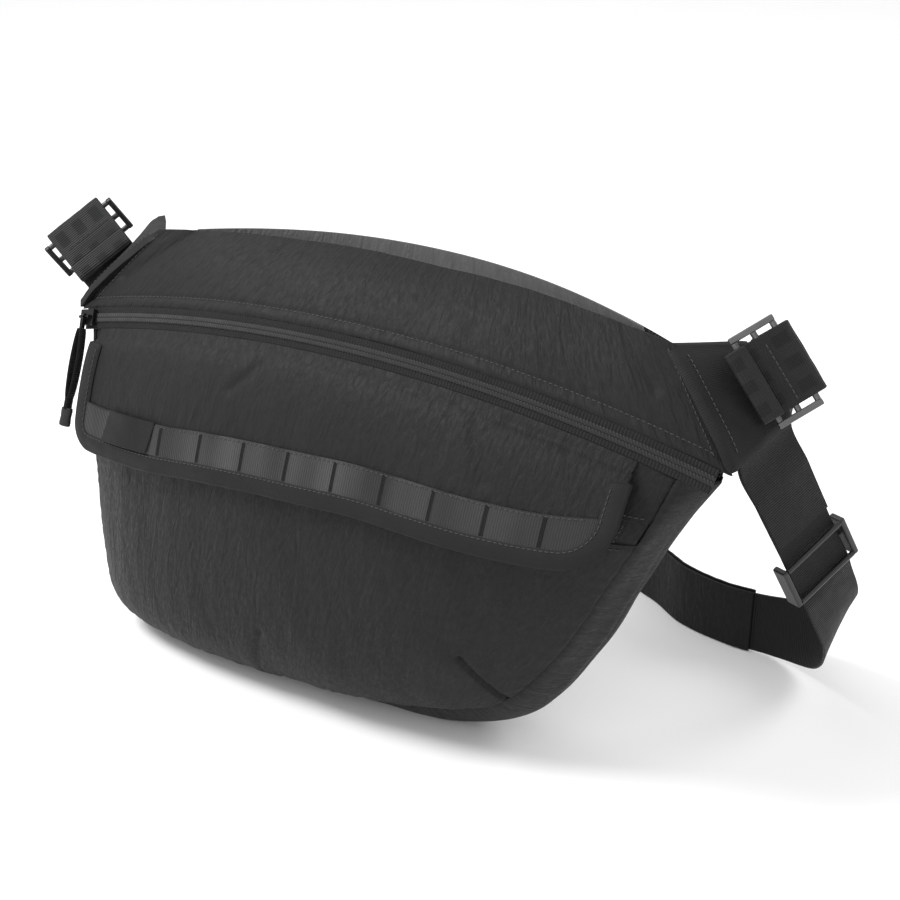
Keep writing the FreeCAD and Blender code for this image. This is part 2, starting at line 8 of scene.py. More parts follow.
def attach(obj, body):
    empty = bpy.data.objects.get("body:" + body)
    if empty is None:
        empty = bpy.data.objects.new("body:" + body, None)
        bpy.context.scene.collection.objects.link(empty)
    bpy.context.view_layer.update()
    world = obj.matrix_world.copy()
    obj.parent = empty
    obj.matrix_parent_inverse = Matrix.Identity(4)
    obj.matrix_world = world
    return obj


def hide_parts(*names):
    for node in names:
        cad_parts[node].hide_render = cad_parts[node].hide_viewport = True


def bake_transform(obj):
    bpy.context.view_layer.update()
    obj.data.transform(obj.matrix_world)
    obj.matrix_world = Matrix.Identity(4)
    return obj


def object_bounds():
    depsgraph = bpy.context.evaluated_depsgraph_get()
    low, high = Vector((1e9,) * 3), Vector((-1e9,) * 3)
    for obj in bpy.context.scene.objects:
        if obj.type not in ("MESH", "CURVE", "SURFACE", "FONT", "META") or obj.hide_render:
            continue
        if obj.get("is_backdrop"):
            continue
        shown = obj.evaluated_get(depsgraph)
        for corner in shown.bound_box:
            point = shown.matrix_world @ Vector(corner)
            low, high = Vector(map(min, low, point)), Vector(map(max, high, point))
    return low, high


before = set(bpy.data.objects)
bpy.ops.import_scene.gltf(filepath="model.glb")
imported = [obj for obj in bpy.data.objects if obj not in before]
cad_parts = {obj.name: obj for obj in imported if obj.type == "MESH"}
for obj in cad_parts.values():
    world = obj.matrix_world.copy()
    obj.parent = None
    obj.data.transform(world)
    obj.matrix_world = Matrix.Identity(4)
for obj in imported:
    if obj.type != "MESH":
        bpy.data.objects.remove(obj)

cad_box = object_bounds()

# Outlines below are in millimetres, as a pattern maker has them. Blender works in metres.
MM = 0.001
FULL = (0.0, 1.0)                # all of a surface, one way


def new_object(name, data):
    made = bpy.data.objects.new(name, data)
    bpy.context.scene.collection.objects.link(made)
    return made


# ---- camera ----
AIM = Vector((27, 18, 154)) * MM
CAMERA_DISTANCE = 1.102
CAMERA_AZIMUTH = math.radians(35)
CAMERA_ELEVATION = math.radians(23)

backwards = Vector((math.sin(CAMERA_AZIMUTH) * math.cos(CAMERA_ELEVATION),
                    -math.cos(CAMERA_AZIMUTH) * math.cos(CAMERA_ELEVATION),
                    math.sin(CAMERA_ELEVATION)))
camera_data = bpy.data.cameras.new("camera")
camera_data.lens = 78
camera = new_object("camera", camera_data)
camera.location = AIM + backwards * CAMERA_DISTANCE
camera.rotation_euler = backwards.to_track_quat("Z", "Y").to_euler()
bpy.context.scene.camera = camera

# ---- the bag's outline, as the CAD part has it ----
FRONT_Y = -35.0
ZIP_HALF_SPAN = 213.0
ZIP_TOP = Vector((0, -34, 217))
ZIP_RISE = 27.0
ZIP_LEAN = 9.0
TOP_HALF = 174.0
FRONT_BULGE = 31.0
FLAP_LEFT = -198.0
FLAP_RIGHT = 175.0
FLAP_STAND_OFF = 6.5
WEBBING_WIDTH = 38.0
WEBBING = 1.5
FRONT_SEAM = [Vector((x, FRONT_Y, z)) for x, z in (
    (-205, 187), (-202.5, 145), (-202, 100), (-201, 54), (-194, 21), (-160, 8), (-90, 6),
    (-20, 9), (46, 19), (98, 38), (134, 78), (164, 128), (187, 168), (196, 193))]
BACK_SEAM = [Vector(p) for p in (
    (-213, -8, 188), (-206, 6, 150), (-203, 17, 100), (-201, 24, 54), (-192, 25, 22),
    (-160, 25, 9), (-90, 25, 7), (-20, 25, 9), (46, 25, 17), (98, 25, 33), (134, 24, 73),
    (160, 17, 118), (186, 8, 158), (212, -8, 190))]
GUSSET_SWELL = [2, 3, 4, 5, 7, 9.2, 7.2, 9.7, 18.7, 14, 8, 6, 4, 2]
LOWER_LEFT = 4
LOWER_RIGHT = 9
LAST = len(FRONT_SEAM) - 1
WING = [Vector(p) for p in ((174, 2, 253), (222, -19, 206), (201, 31, 250), (229, 28, 220))]


# ---- curves ----
def smooth(points, place):
    """A point on the smooth curve through the given points; place counts points from 0."""
    last = len(points) - 1
    index = min(max(int(math.floor(place)), 0), last - 1)
    f = place - index
    b = points[index]
    c = points[index + 1]
    a = points[index - 1] if index > 0 else b * 2 - c
    d = points[index + 2] if index + 2 <= last else c * 2 - b
    linear = (c - a) * f
    square = (a * 2 - b * 5 + c * 4 - d) * (f * f)
    cube = (b * 3 - a - c * 3 + d) * (f * f * f)
    return (b * 2 + linear + square + cube) * 0.5


def mix(a, b, f):
    return a * (1 - f) + b * f


def square_to(way, along):
    """The part of way that is square to along, as a unit vector."""
    return (way - along * (way.dot(along) / along.dot(along))).normalized()


def hump(f, power=1.0):
    """0 at both ends and 1 between them; a power under 1 makes it steeper at 0."""
    g = max(f, 0.0) ** power
    return 4 * g * (1 - g)


def bell(distance, width):
    return math.exp(-(distance / width) ** 2)


def normal_at(surface, u, v, step=0.004):
    du = surface(min(u + step, 1), v) - surface(max(u - step, 0), v)
    dv = surface(u, v + step) - surface(u, v - step)
    return du.cross(dv).normalized()


def raised(surface, place, lift, relief):
    """A surface's point and normal, and how far the cloth stands off it there."""
    point = surface(*place)
    return point, normal_at(surface, *place), lift + (relief(*place, point) if relief else 0.0)


class Arc:
    """A circular arc through three points; a zip and its slider turn about its axis."""

    def __init__(self, left, middle, right):
        chord = right - left
        self.axis = (middle - left).cross(chord).normalized()
        half = (left + right) * 0.5
        area = (middle - left).cross(chord).length / 2
        self.radius = (middle - left).length * (right - middle).length * chord.length / (4 * area)
        self.up = self.axis.cross(chord).normalized()
        if (middle - half).dot(self.up) < 0:
            self.up = -self.up
        self.centre = half - self.up * math.sqrt(self.radius ** 2 - (chord.length / 2) ** 2)
        self.along = chord.normalized()
        if self.axis.y < 0:
            self.axis = -self.axis

    def point(self, angle, radial=0.0, axial=0.0):
        direction = self.along * math.sin(angle) + self.up * math.cos(angle)
        return self.centre + direction * (self.radius + radial) + self.axis * axial

    def angle_at(self, x):
        return math.asin((x - self.centre.x) / self.radius)

    def angle_of(self, point):
        spoke = point - self.centre
        return math.atan2(spoke.dot(self.along), spoke.dot(self.up))


LEFT_ZIP_END = Vector((-ZIP_HALF_SPAN, ZIP_TOP.y + ZIP_LEAN, ZIP_TOP.z - ZIP_RISE))
RIGHT_ZIP_END = Vector((ZIP_HALF_SPAN, LEFT_ZIP_END.y, LEFT_ZIP_END.z))
main_arc = Arc(LEFT_ZIP_END, ZIP_TOP, RIGHT_ZIP_END)
for end in (0, -1):
    FRONT_SEAM[end] = main_arc.point(main_arc.angle_at(FRONT_SEAM[end].x))
ZIP_SLOPE = math.sqrt(0.5)
BAND_MIDDLE = 4.75


# ---- the bag's surfaces ----
def front_surface(u, v):
    """The front panel: u from left to right, v from the bottom seam to the zip."""
    bottom = smooth(FRONT_SEAM, LOWER_LEFT + (LOWER_RIGHT - LOWER_LEFT) * u)
    left = smooth(FRONT_SEAM, LOWER_LEFT * (1 - v))
    right = smooth(FRONT_SEAM, LOWER_RIGHT + (LAST - LOWER_RIGHT) * v)
    low_angle = main_arc.angle_at(FRONT_SEAM[0].x)
    high_angle = main_arc.angle_at(FRONT_SEAM[-1].x)
    top = main_arc.point(low_angle + (high_angle - low_angle) * u)
    low_corners = mix(FRONT_SEAM[LOWER_LEFT], FRONT_SEAM[LOWER_RIGHT], u)
    high_corners = mix(main_arc.point(low_angle), main_arc.point(high_angle), u)
    point = mix(bottom, top, v) + mix(left, right, u) - mix(low_corners, high_corners, v)
    fullness = hump(v, 0.7) * (1 - abs(2 * u - 1) ** 2.4)
    return point - Vector((0, FRONT_BULGE * fullness, 0))


def gusset_surface(u, v):
    """The gusset: u along the seams from left to right, v from the back seam to the front."""
    place = u * LAST
    front = smooth(FRONT_SEAM, place)
    back = smooth(BACK_SEAM, place)
    ahead = smooth(FRONT_SEAM, min(place + 0.05, LAST))
    behind = smooth(FRONT_SEAM, max(place - 0.05, 0))
    along = (ahead - behind).normalized()
    out = Vector((along.z, 0, -along.x))
    swell = smooth([Vector((s, 0, 0)) for s in GUSSET_SWELL], place).x
    return mix(back, front, v) + out * (swell * 4 * v * (1 - v))


def top_edge(x):
    share = abs(x) / TOP_HALF
    return Vector((x, 12 - 10 * share ** 2.5, 265 - 12 * share ** 2))


def yoke_surface(u, v):
    """The yoke above the zip: u from left to right, v from the zip to the upper edge."""
    half_angle = main_arc.angle_at(ZIP_HALF_SPAN + 5)
    bottom = main_arc.point(half_angle * (2 * u - 1), 2 * BAND_MIDDLE, 2 * BAND_MIDDLE)
    top = top_edge(TOP_HALF * (2 * u - 1))
    swell = 5 * hump(v) * (1 - abs(2 * u - 1) ** 3)
    return mix(bottom, top, v) + Vector((0, -0.7, 0.7)) * swell


def back_surface(u, v):
    """The back panel: u from right to left as it is seen from behind, v upwards."""
    u = 1 - u
    left_side = BACK_SEAM[4:0:-1] + [Vector((-209, 2, 196)), Vector((-176, 9, 250))]
    right_side = BACK_SEAM[9:13] + [Vector((209, 2, 198)), Vector((176, 9, 250))]
    bottom = smooth(BACK_SEAM, LOWER_LEFT + (LOWER_RIGHT - LOWER_LEFT) * u)
    left = smooth(left_side, 5 * v)
    right = smooth(right_side, 5 * v)
    x = TOP_HALF * (2 * u - 1)
    edge = top_edge(x)
    top = Vector((x, edge.y + 7 + 20 * (1 - (2 * u - 1) ** 2), edge.z - 3))
    corner_rows = mix(mix(left_side[0], right_side[0], u), mix(left_side[-1], right_side[-1], u), v)
    point = mix(bottom, top, v) + mix(left, right, u) - corner_rows
    swell = 9 * hump(v) * (1 - abs(2 * u - 1) ** 3)
    return point + Vector((0, swell, 0))


FLAP_HEIGHTS = [Vector((0, 0, z)) for z in (130, 132, 135, 140, 143.5, 146, 148, 147.5, 147, 148, 152)]
FLAP_FRONTS = [Vector((0, y, 0)) for y in (-55, -63, -68, -70.5, -71.5, -72, -72, -72, -71, -67, -60)]


def flap_surface(u, v):
    """The flap: u from left to right, v from its lower edge up to its seam under the zip."""
    x = FLAP_LEFT + (FLAP_RIGHT - FLAP_LEFT) * u
    top = main_arc.point(main_arc.angle_at(x), -3.0, -FLAP_STAND_OFF)
    place = u * (len(FLAP_HEIGHTS) - 1)
    low = Vector((x, smooth(FLAP_FRONTS, place).y, smooth(FLAP_HEIGHTS, place).z))
    if v > 1:
        # above its CAD solid the cloth turns in to the zip's lower tape
        return mix(top, main_arc.point(main_arc.angle_at(x), 0.6, -0.6), (v - 1) / 0.12)
    down = 1 - v
    return Vector((x, top.y + (low.y - top.y) * down ** 0.7, top.z + (low.z - top.z) * down))


# ---- materials ----
class Look:
    """A node material. Every pattern is measured in millimetres of the cloth itself."""

    def __init__(self, name, attribute="cloth"):
        self.material = bpy.data.materials.new(name)
        self.material.use_nodes = True
        self.tree = self.material.node_tree
        self.shader = self.tree.nodes["Principled BSDF"]
        if attribute:
            self.place = self.node("ShaderNodeAttribute", attribute_name=attribute).outputs["Vector"]
        else:
            place = {0: self.node("ShaderNodeTexCoord").outputs["Object"], "Scale": 1 / MM}
            self.place = self.node("ShaderNodeVectorMath", place, operation="SCALE").outputs[0]
        self.bump_before = None

    def node(self, kind, inputs=None, **settings):
        made = self.tree.nodes.new(kind)
        for name, value in settings.items():
            setattr(made, name, value)
        for name, value in (inputs or {}).items():
            if isinstance(value, bpy.types.NodeSocket):
                self.tree.links.new(value, made.inputs[name])
            else:
                made.inputs[name].default_value = value
        return made

    def stretched(self, x, y, z=1.0):
        """Cloth coordinates multiplied by x, y and z."""
        factors = {0: self.place, 1: (x, y, z)}
        return self.node("ShaderNodeVectorMath", factors, operation="MULTIPLY").outputs[0]

    def noise(self, x, y, detail=3.0, distortion=0.0):
        """Cloudy pattern with about x and y repeats in a millimetre."""
        return self.node("ShaderNodeTexNoise", {
            "Vector": self.stretched(x, y, (x + y) / 2), "Scale": 1.0, "Detail": detail,
            "Distortion": distortion}).outputs["Fac"]

    def ribs(self, pitch, across=False, uneven=0.0):
        """Ridges that follow each other along the cloth, or across it."""
        # a wave texture repeats about once in 2 pi / 20 of its own unit
        wave = math.pi / 10 / pitch
        return self.node("ShaderNodeTexWave", {
            "Vector": self.place, "Scale": wave, "Distortion": uneven, "Detail": 2.0, "Detail Scale": 2.0},
            wave_type="BANDS", bands_direction="Y" if across else "X").outputs["Fac"]

    def math(self, operation, a, b):
        return self.node("ShaderNodeMath", {0: a, 1: b}, operation=operation).outputs[0]

    def weighted(self, a, share_a, b, share_b):
        return self.math("ADD", self.math("MULTIPLY", a, share_a), self.math("MULTIPLY", b, share_b))

    def ramp(self, value, low, high, a=0.0, b=1.0):
        return self.node("ShaderNodeMapRange", {
            "Value": value, "From Min": low, "From Max": high, "To Min": a, "To Max": b}).outputs["Result"]

    def colour(self, value, dark, light):
        """A grey between dark and light."""
        shades = {"Factor": value, "A": (dark, dark, dark, 1), "B": (light, light, light, 1)}
        mixed = self.node("ShaderNodeMix", shades, data_type="RGBA")
        self.tree.links.new(mixed.outputs["Result"], self.shader.inputs["Base Color"])

    def roughness(self, value, low, high):
        self.tree.links.new(self.ramp(value, 0.25, 0.75, low, high), self.shader.inputs["Roughness"])

    def bump(self, height, depth, strength=1.0):
        """A relief of the given depth in millimetres, on top of any bump before it."""
        inputs = {"Height": height, "Distance": depth * MM, "Strength": strength}
        if self.bump_before is not None:
            inputs["Normal"] = self.bump_before
        self.bump_before = self.node("ShaderNodeBump", inputs).outputs["Normal"]
        self.tree.links.new(self.bump_before, self.shader.inputs["Normal"])

    def set(self, **sockets):
        for name, value in sockets.items():
            self.shader.inputs[name.replace("_", " ")].default_value = value
        return self.material


def nylon(name, dark, light, sheen=0.03):
    """Crinkled plain-weave nylon: creases run mostly down the cloth, with a soft sheen."""
    look = Look(name)
    creases = look.noise(0.16, 0.035, 6.0, 1.2)
    crumple = look.noise(0.45, 0.22, 4.0, 0.6)
    slubs = look.noise(3.2, 0.25, 2.0)
    weave = look.math("MULTIPLY", look.ribs(0.8), look.ribs(0.8, across=True))
    look.colour(look.weighted(creases, 0.7, slubs, 0.3), dark, light)
    look.roughness(crumple, 0.5, 0.72)
    look.bump(creases, 1.3, 0.8)
    look.bump(crumple, 0.5, 0.7)
    look.bump(slubs, 0.1, 0.6)
    look.bump(weave, 0.1, 0.5)
    return look.set(Sheen_Weight=sheen, Sheen_Roughness=0.5, Specular_IOR_Level=0.2)


def ribbed(name, pitch, depth, dark, light, rough, across=False, sheen=0.02):
    """Webbing, tape or ribbed cloth."""
    look = Look(name)
    ribs = look.ribs(pitch, across)
    threads = look.ribs(0.75, not across, 1.0)
    wear = look.noise(0.09, 0.13, 5.0)
    look.colour(look.weighted(wear, 0.75, ribs, 0.25), dark, light)
    look.roughness(wear, rough - 0.08, rough + 0.1)
    look.bump(wear, 0.8, 0.5)
    look.bump(ribs, depth, 0.8)
    look.bump(threads, depth * 0.4, 0.6)
    return look.set(Sheen_Weight=sheen, Sheen_Roughness=0.4, Specular_IOR_Level=0.22)


def tab_webbing(name):
    """Satin webbing woven with duller squares in two rows."""
    look = Look(name)
    along = look.ramp(look.ribs(18.0), 0.42, 0.58)
    across = look.ramp(look.ribs(WEBBING_WIDTH / 3, across=True), 0.42, 0.58)
    squares = look.math("MULTIPLY", along, across)
    ribs = look.ribs(1.15)
    wear = look.noise(0.1, 0.1, 5.0)
    look.colour(look.math("SUBTRACT", look.math("ADD", look.math("MULTIPLY", wear, 0.6), 0.35),
                          look.math("MULTIPLY", squares, 0.4)), 0.004, 0.014)
    look.tree.links.new(look.ramp(squares, 0, 1, 0.5, 0.62), look.shader.inputs["Roughness"])
    look.bump(wear, 0.6, 0.5)
    look.bump(squares, 0.12, 0.8)
    look.bump(ribs, 0.32, 0.8)
    return look.set(Sheen_Weight=0.02, Sheen_Roughness=0.4, Specular_IOR_Level=0.25)


def strip_webbing(name):
    """Satin webbing with broad highlight patches painted into its colour where its ribs would catch the
    light.
    """
    look = Look(name)
    run = look.node("ShaderNodeSeparateXYZ", {0: look.place}).outputs["X"]
    # painted highlight: lighter patches in the colour where the webbing would catch the light, fading darker
    # from 190 to 330 mm along the strip
    patches = look.math("MULTIPLY", look.ramp(look.noise(0.028, 0.004, 1.0), 0.38, 0.62),
                        look.ramp(run, 190, 330, 1.0, 0.25))
    ribs = look.ribs(1.5)
    specks = look.noise(0.9, 0.9, 2.0)
    # the painted highlights times random specks of tone
    painted_highlights_and_specks = look.math("MULTIPLY", patches, look.ramp(specks, 0.2, 0.8, 0.7, 1.2))
    look.colour(painted_highlights_and_specks, 0.008, 0.045)
    look.roughness(patches, 0.5, 0.6)
    look.bump(specks, 0.15, 0.6)
    look.bump(ribs, 0.4, 0.9)
    return look.set(Sheen_Weight=0.02, Specular_IOR_Level=0.4)


def air_mesh(name):
    """Spacer mesh: rows of small dark holes."""
    look = Look(name)
    cells = look.node("ShaderNodeTexVoronoi", {
        "Vector": look.stretched(0.42, 0.36, 0.4), "Scale": 1.0, "Randomness": 0.25}, feature="F1")
    holes = look.ramp(cells.outputs["Distance"], 0.2, 0.5)
    fuzz = look.noise(1.5, 1.5, 3.0)
    look.colour(look.math("MULTIPLY", look.ramp(holes, 0, 1, 1.0, 0.15), fuzz), 0.003, 0.03)
    look.roughness(fuzz, 0.75, 0.95)
    look.bump(look.ramp(holes, 0, 1, 1, 0), 1.2, 1.0)
    look.bump(fuzz, 0.3, 0.6)
    return look.set(Sheen_Weight=0.04, Specular_IOR_Level=0.2)


def moulded(name, dark, light, rough, metallic=0.0, attribute=None, grain=1.4):
    """Moulded plastic or painted metal, with fine grain and rubbed patches."""
    look = Look(name, attribute)
    patches = look.noise(0.07, 0.09, 4.0)
    fine = look.noise(grain, grain, 2.0)
    look.colour(patches, dark, light)
    look.roughness(patches, rough - 0.06, rough + 0.1)
    look.bump(fine, 0.06, 0.6)
    return look.set(Metallic=metallic)


def thread_look(name):
    look = Look(name, None)
    twist = look.noise(2.5, 2.5, 2.0)
    look.colour(twist, 0.02, 0.06)
    look.roughness(twist, 0.5, 0.75)
    look.bump(twist, 0.2, 0.8)
    return look.set(Specular_IOR_Level=0.35)


def foam_look(name):
    look = Look(name)
    cells = look.node("ShaderNodeTexVoronoi", {"Vector": look.place, "Scale": 1.2}).outputs["Distance"]
    look.colour(cells, 0.15, 0.24)
    look.roughness(cells, 0.8, 0.95)
    look.bump(cells, 0.3, 0.8)
    return look.set(Sheen_Weight=0.1)


LOOKS = {
    "shell_fabric": nylon("shell nylon", 0.0035, 0.0115, sheen=0.015),
    "grey_lining": nylon("grey lining", 0.08, 0.14),
    "lining": nylon("dark lining", 0.02, 0.04),
    "wing_fabric": ribbed("wing cloth", 1.1, 0.1, 0.004, 0.011, 0.66, across=True),
    "binding": ribbed("binding tape", 0.9, 0.1, 0.004, 0.011, 0.66),
    "webbing": ribbed("strap webbing", 1.5, 0.25, 0.003, 0.010, 0.55),
    "tab_webbing": tab_webbing("tab webbing"),
    "strip_webbing": strip_webbing("strip webbing"),
    "thread": thread_look("thread"),
    "label": ribbed("blank label", 0.9, 0.08, 0.003, 0.006, 0.45, sheen=0.0),
    "air_mesh": air_mesh("air mesh"),
    "foam": foam_look("foam"),
    "zip_tape": ribbed("zip tape", 1.9, 0.3, 0.003, 0.009, 0.65),
    "zip_coil": moulded("zip coil", 0.003, 0.007, 0.6, attribute="cloth"),
    "pull_cord": ribbed("pull webbing", 1.2, 0.3, 0.006, 0.015, 0.55),
    "metal": moulded("satin metal", 0.09, 0.16, 0.4, metallic=0.9),
    "metal_black": moulded("black metal", 0.008, 0.02, 0.26, metallic=0.6),
    "buckle_plastic": moulded("buckle plastic", 0.008, 0.02, 0.34),
}


# ---- building pieces ----
def add_piece(name, points, faces, flats, slot, body, nodes=(), look=None, sharp=50):
    """A mesh piece from points in millimetres; flats are the same points laid flat."""
    mesh = bpy.data.meshes.new(name)
    mesh.from_pydata([p * MM for p in points], [], faces)
    place = mesh.attributes.new("cloth", "FLOAT_VECTOR", "POINT")
    place.data.foreach_set("vector", [c for f in flats for c in f])
    mesh.shade_smooth()
    mesh.set_sharp_from_angle(angle=math.radians(sharp))
    mesh.materials.append(LOOKS[look or slot])
    piece = new_object(name, mesh)
    if nodes:
        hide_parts(*nodes)
    if body:
        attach(piece, body)
    return piece


def grid(surface, thickness, u, v, cells, lift=0.0, relief=None, rim=0.35, keep=None):
    """Points, faces and flat places of a closed sheet. Its outer side is lifted off the surface
    by lift and relief(u, v, point); rim rounds its edge by that share of the thickness. keep
    moves a finished point, for cloth that rests on something."""
    columns, rows = cells
    outer = []
    inner = []
    for i in range(columns + 1):
        for j in range(rows + 1):
            place = (u[0] + (u[1] - u[0]) * i / columns, v[0] + (v[1] - v[0]) * j / rows)
            point, out, height = raised(surface, place, lift, relief)
            outer.append(point + out * height)
            inner.append(point + out * (height - thickness))
    if keep:
        outer = [keep(p, 0.0) for p in outer]
        inner = [keep(p, thickness) for p in inner]
    middle_row = rows // 2
    middle_column = columns // 2
    along = [0.0]
    for i in range(columns):
        start = i * (rows + 1) + middle_row
        along.append(along[-1] + (outer[start + rows + 1] - outer[start]).length)
    up = [0.0]
    for j in range(rows):
        start = middle_column * (rows + 1) + j
        up.append(up[-1] + (outer[start + 1] - outer[start]).length)
    flats = [(a, b, 0.0) for a in along for b in up]
    faces = []
    count = len(outer)
    for i in range(columns):
        for j in range(rows):
            a = i * (rows + 1) + j
            b = a + rows + 1
            faces.append((a, b, b + 1, a + 1))
            faces.append((count + a, count + a + 1, count + b + 1, count + b))
    border = [i * (rows + 1) for i in range(columns + 1)]
    border += [columns * (rows + 1) + j for j in range(1, rows + 1)]
    border += [i * (rows + 1) + rows for i in range(columns - 1, -1, -1)]
    border += [j for j in range(rows - 1, 0, -1)]
    points = outer + inner
    flats = flats + flats
    rim_start = len(points)
    for position, k in enumerate(border):
        before = outer[border[position - 1]]
        after = outer[border[(position + 1) % len(border)]]
        edge_way = (after - before).normalized()
        away = edge_way.cross(outer[k] - inner[k]).normalized()
        points.append((outer[k] + inner[k]) * 0.5 + away * (thickness * rim))
        flats.append(flats[k])
    for position, k in enumerate(border):
        following = (position + 1) % len(border)
        m = border[following]
        faces.append((k, rim_start + position, rim_start + following, m))
        faces.append((rim_start + position, count + k, count + m, rim_start + following))
    return points, faces, flats


def cloth(name, surface, thickness, u, v, cells, slot, body, nodes=(), look=None, **shape):
    points, faces, flats = grid(surface, thickness, u, v, cells, **shape)
    return add_piece(name, points, faces, flats, slot, body, nodes, look)


def joined(parts):
    """Several (points, faces, flats) as one."""
    points = []
    faces = []
    flats = []
    for part_points, part_faces, part_flats in parts:
        shift = len(points)
        points += part_points
        faces += [tuple(i + shift for i in face) for face in part_faces]
        flats += part_flats
    return points, faces, flats


def tube(path, ways, section):
    """A closed solid swept along a path; ways are (across, out) at each of its points, and
    section is a list of (across, out) corners in order."""
    points = []
    flats = []
    faces = []
    sides = len(section)
    run = 0.0
    for k, (point, (across, out)) in enumerate(zip(path, ways)):
        if k:
            run += (point - path[k - 1]).length
        for a, o in section:
            points.append(point + across * a + out * o)
            flats.append((run, a, o))
    for k in range(len(path) - 1):
        for s in range(sides):
            t = (s + 1) % sides
            faces.append((k * sides + s, k * sides + t, (k + 1) * sides + t, (k + 1) * sides + s))
    faces.append(tuple(reversed(range(sides))))
    faces.append(tuple((len(path) - 1) * sides + s for s in range(sides)))
    return points, faces, flats


def oval(width, height, corners):
    turns = [2 * math.pi * k / corners for k in range(corners)]
    return [(width / 2 * math.cos(t), height / 2 * math.sin(t)) for t in turns]


# ---- sewing ----
STITCH = 2.3
STITCH_PITCH = 3.2
THREAD = 0.5


def one_stitch(middle, along, out):
    """A short thread that dips into the cloth at both ends."""
    across = out.cross(along).normalized()
    ends = []
    for share, height in ((-0.5, -0.25), (-0.32, 0.16), (0.0, 0.24), (0.32, 0.16), (0.5, -0.25)):
        ends.append(middle + along * (STITCH * share) + out * height)
    return tube(ends, [(across, out)] * len(ends), oval(THREAD * 1.2, THREAD, 6))


stitches = {}


def sew(body, line, lift=0.0):
    """Stitches along a line of (point, out) pairs, gathered for each body."""
    lengths = [0.0]
    for (a, _), (b, _) in zip(line, line[1:]):
        lengths.append(lengths[-1] + (b - a).length)
    for k in range(int(lengths[-1] / STITCH_PITCH)):
        run = (k + 0.5) * STITCH_PITCH
        index = min(bisect.bisect(lengths, run), len(line) - 1)
        share = (run - lengths[index - 1]) / max(lengths[index] - lengths[index - 1], 1e-9)
        (a, out_a), (b, out_b) = line[index - 1], line[index]
        out = mix(out_a, out_b, share).normalized()
        middle = mix(a, b, share) + out * lift
        stitches.setdefault(body, []).append(one_stitch(middle, (b - a).normalized(), out))


def seam_line(surface, start, end, count=60, lift=0.0, relief=None):
    """(point, out) pairs on a surface from one (u, v) place to another."""
    line = []
    for k in range(count + 1):
        place = tuple(mix(a, b, k / count) for a, b in zip(start, end))
        point, out, height = raised(surface, place, lift, relief)
        line.append((point + out * height, out))
    return line


# ---- relief of the cloth ----
def folds(point, across, down, seed):
    """Smooth noise whose folds are across millimetres wide and down millimetres long."""
    return noise.noise(Vector((point.x / across, (point.z - point.y * 0.5) / down, seed)))


def layered_folds(point, seed, *layers):
    """Folds of several sizes, each a (depth, across, down) layer."""
    return sum(depth * folds(point, across, down, seed + k) for k, (depth, across, down) in enumerate(layers))


def pucker(distance, run, depth, pitch=11.0, reach=9.0):
    """Small waves along a seam that die out away from it."""
    sway = noise.noise(Vector((run / 17, distance / 23, 3.7)))
    return depth * math.exp(-distance / reach) * math.sin(2 * math.pi * run / pitch + 5 * sway)


def crease(point, start, end, width, depth):
    """A groove along a straight line from start to end, given as (x, z) in millimetres."""
    a = Vector(start)
    b = Vector(end)
    p = Vector((point.x, point.z))
    way = b - a
    share = min(max((p - a).dot(way) / way.length_squared, 0.0), 1.0)
    distance = (p - (a + way * share)).length
    return -depth * bell(distance, width)


# sizes measured along the cloth
PANEL_WIDTH = 395.0
PANEL_HEIGHT = 195.0
GUSSET_WIDTH = 55.0
GUSSET_LENGTH = 760.0
YOKE_HEIGHT = 52.0
YOKE_LENGTH = 430.0
FLAP_HEIGHT = 75.0
BACK_WIDTH = 360.0
BACK_HEIGHT = 230.0
WING_WIDTH = 40.0
WING_HEIGHT = 60.0
POCKET_HEM_LOW = 0.672
POCKET_HEM_HIGH = 0.768


def front_relief(u, v, point):
    side = min(u, 1 - u) * PANEL_WIDTH
    low = v * PANEL_HEIGHT
    height = -3.4 * bell(side, 1.9) - 3.4 * bell(low, 1.9)
    height += pucker(side, v * PANEL_HEIGHT, 0.25)
    height += pucker(low, u * PANEL_WIDTH, 0.35, 15.0)
    height += layered_folds(point, 1.0, (1.5, 42, 95), (0.5, 14, 52), (0.12, 6, 16))
    height += crease(point, (84, 72), (104, 41), 1.3, 2.2)
    height += crease(point, (-48, 52), (-63, 12), 2.0, 1.0)
    height += 1.3 * bell((point - Vector((76, point.y, 66))).length, 12)
    return height


def gusset_relief(u, v, point):
    to_front = (1 - v) * GUSSET_WIDTH
    run = u * GUSSET_LENGTH
    height = -1.0 * bell(to_front, 1.8) - 2.2 * bell(v * GUSSET_WIDTH, 3.0)
    height += pucker(to_front, run, 0.22, 14.0)
    height += 1.0 * noise.noise(Vector((run / 60, v * 1.6, 5.0)))
    height += 0.3 * noise.noise(Vector((run / 22, v * 4, 6.0)))
    # the slack cloth at the lower right folds along the bag
    fold = bell(u - 0.80, 0.075)
    height += fold * (1.6 * bell(v - 0.62, 0.1) - 2.0 * bell(v - 0.5, 0.06))
    return height


def yoke_relief(u, v, point):
    half = TOP_HALF + (ZIP_HALF_SPAN + 5 - TOP_HALF) * (1 - v)
    side = min(u, 1 - u) * 2 * half
    height = layered_folds(point, 8.0, (1.2, 60, 45), (0.35, 18, 40), (0.1, 7, 12))
    above_zip = v * YOKE_HEIGHT
    height += pucker(above_zip, u * YOKE_LENGTH, 0.12, 9.0, 7.0)
    height += pucker(side, v * WING_HEIGHT, 0.15, 9.0, 8.0)
    height += -1.2 * bell(side, 1.8)
    # a soft fold runs inside each wing's seam
    height += crease(point, (-138, 261), (-190, 224), 2.4, 1.1)
    height += crease(point, (143, 256), (172, 232), 3.0, 1.0)
    # the hem over the zip is a folded edge with a shallow groove where it is sewn
    height += 0.8 * bell(above_zip - 2, 3.0) - 0.5 * bell(above_zip - 6.5, 1.3)
    return height


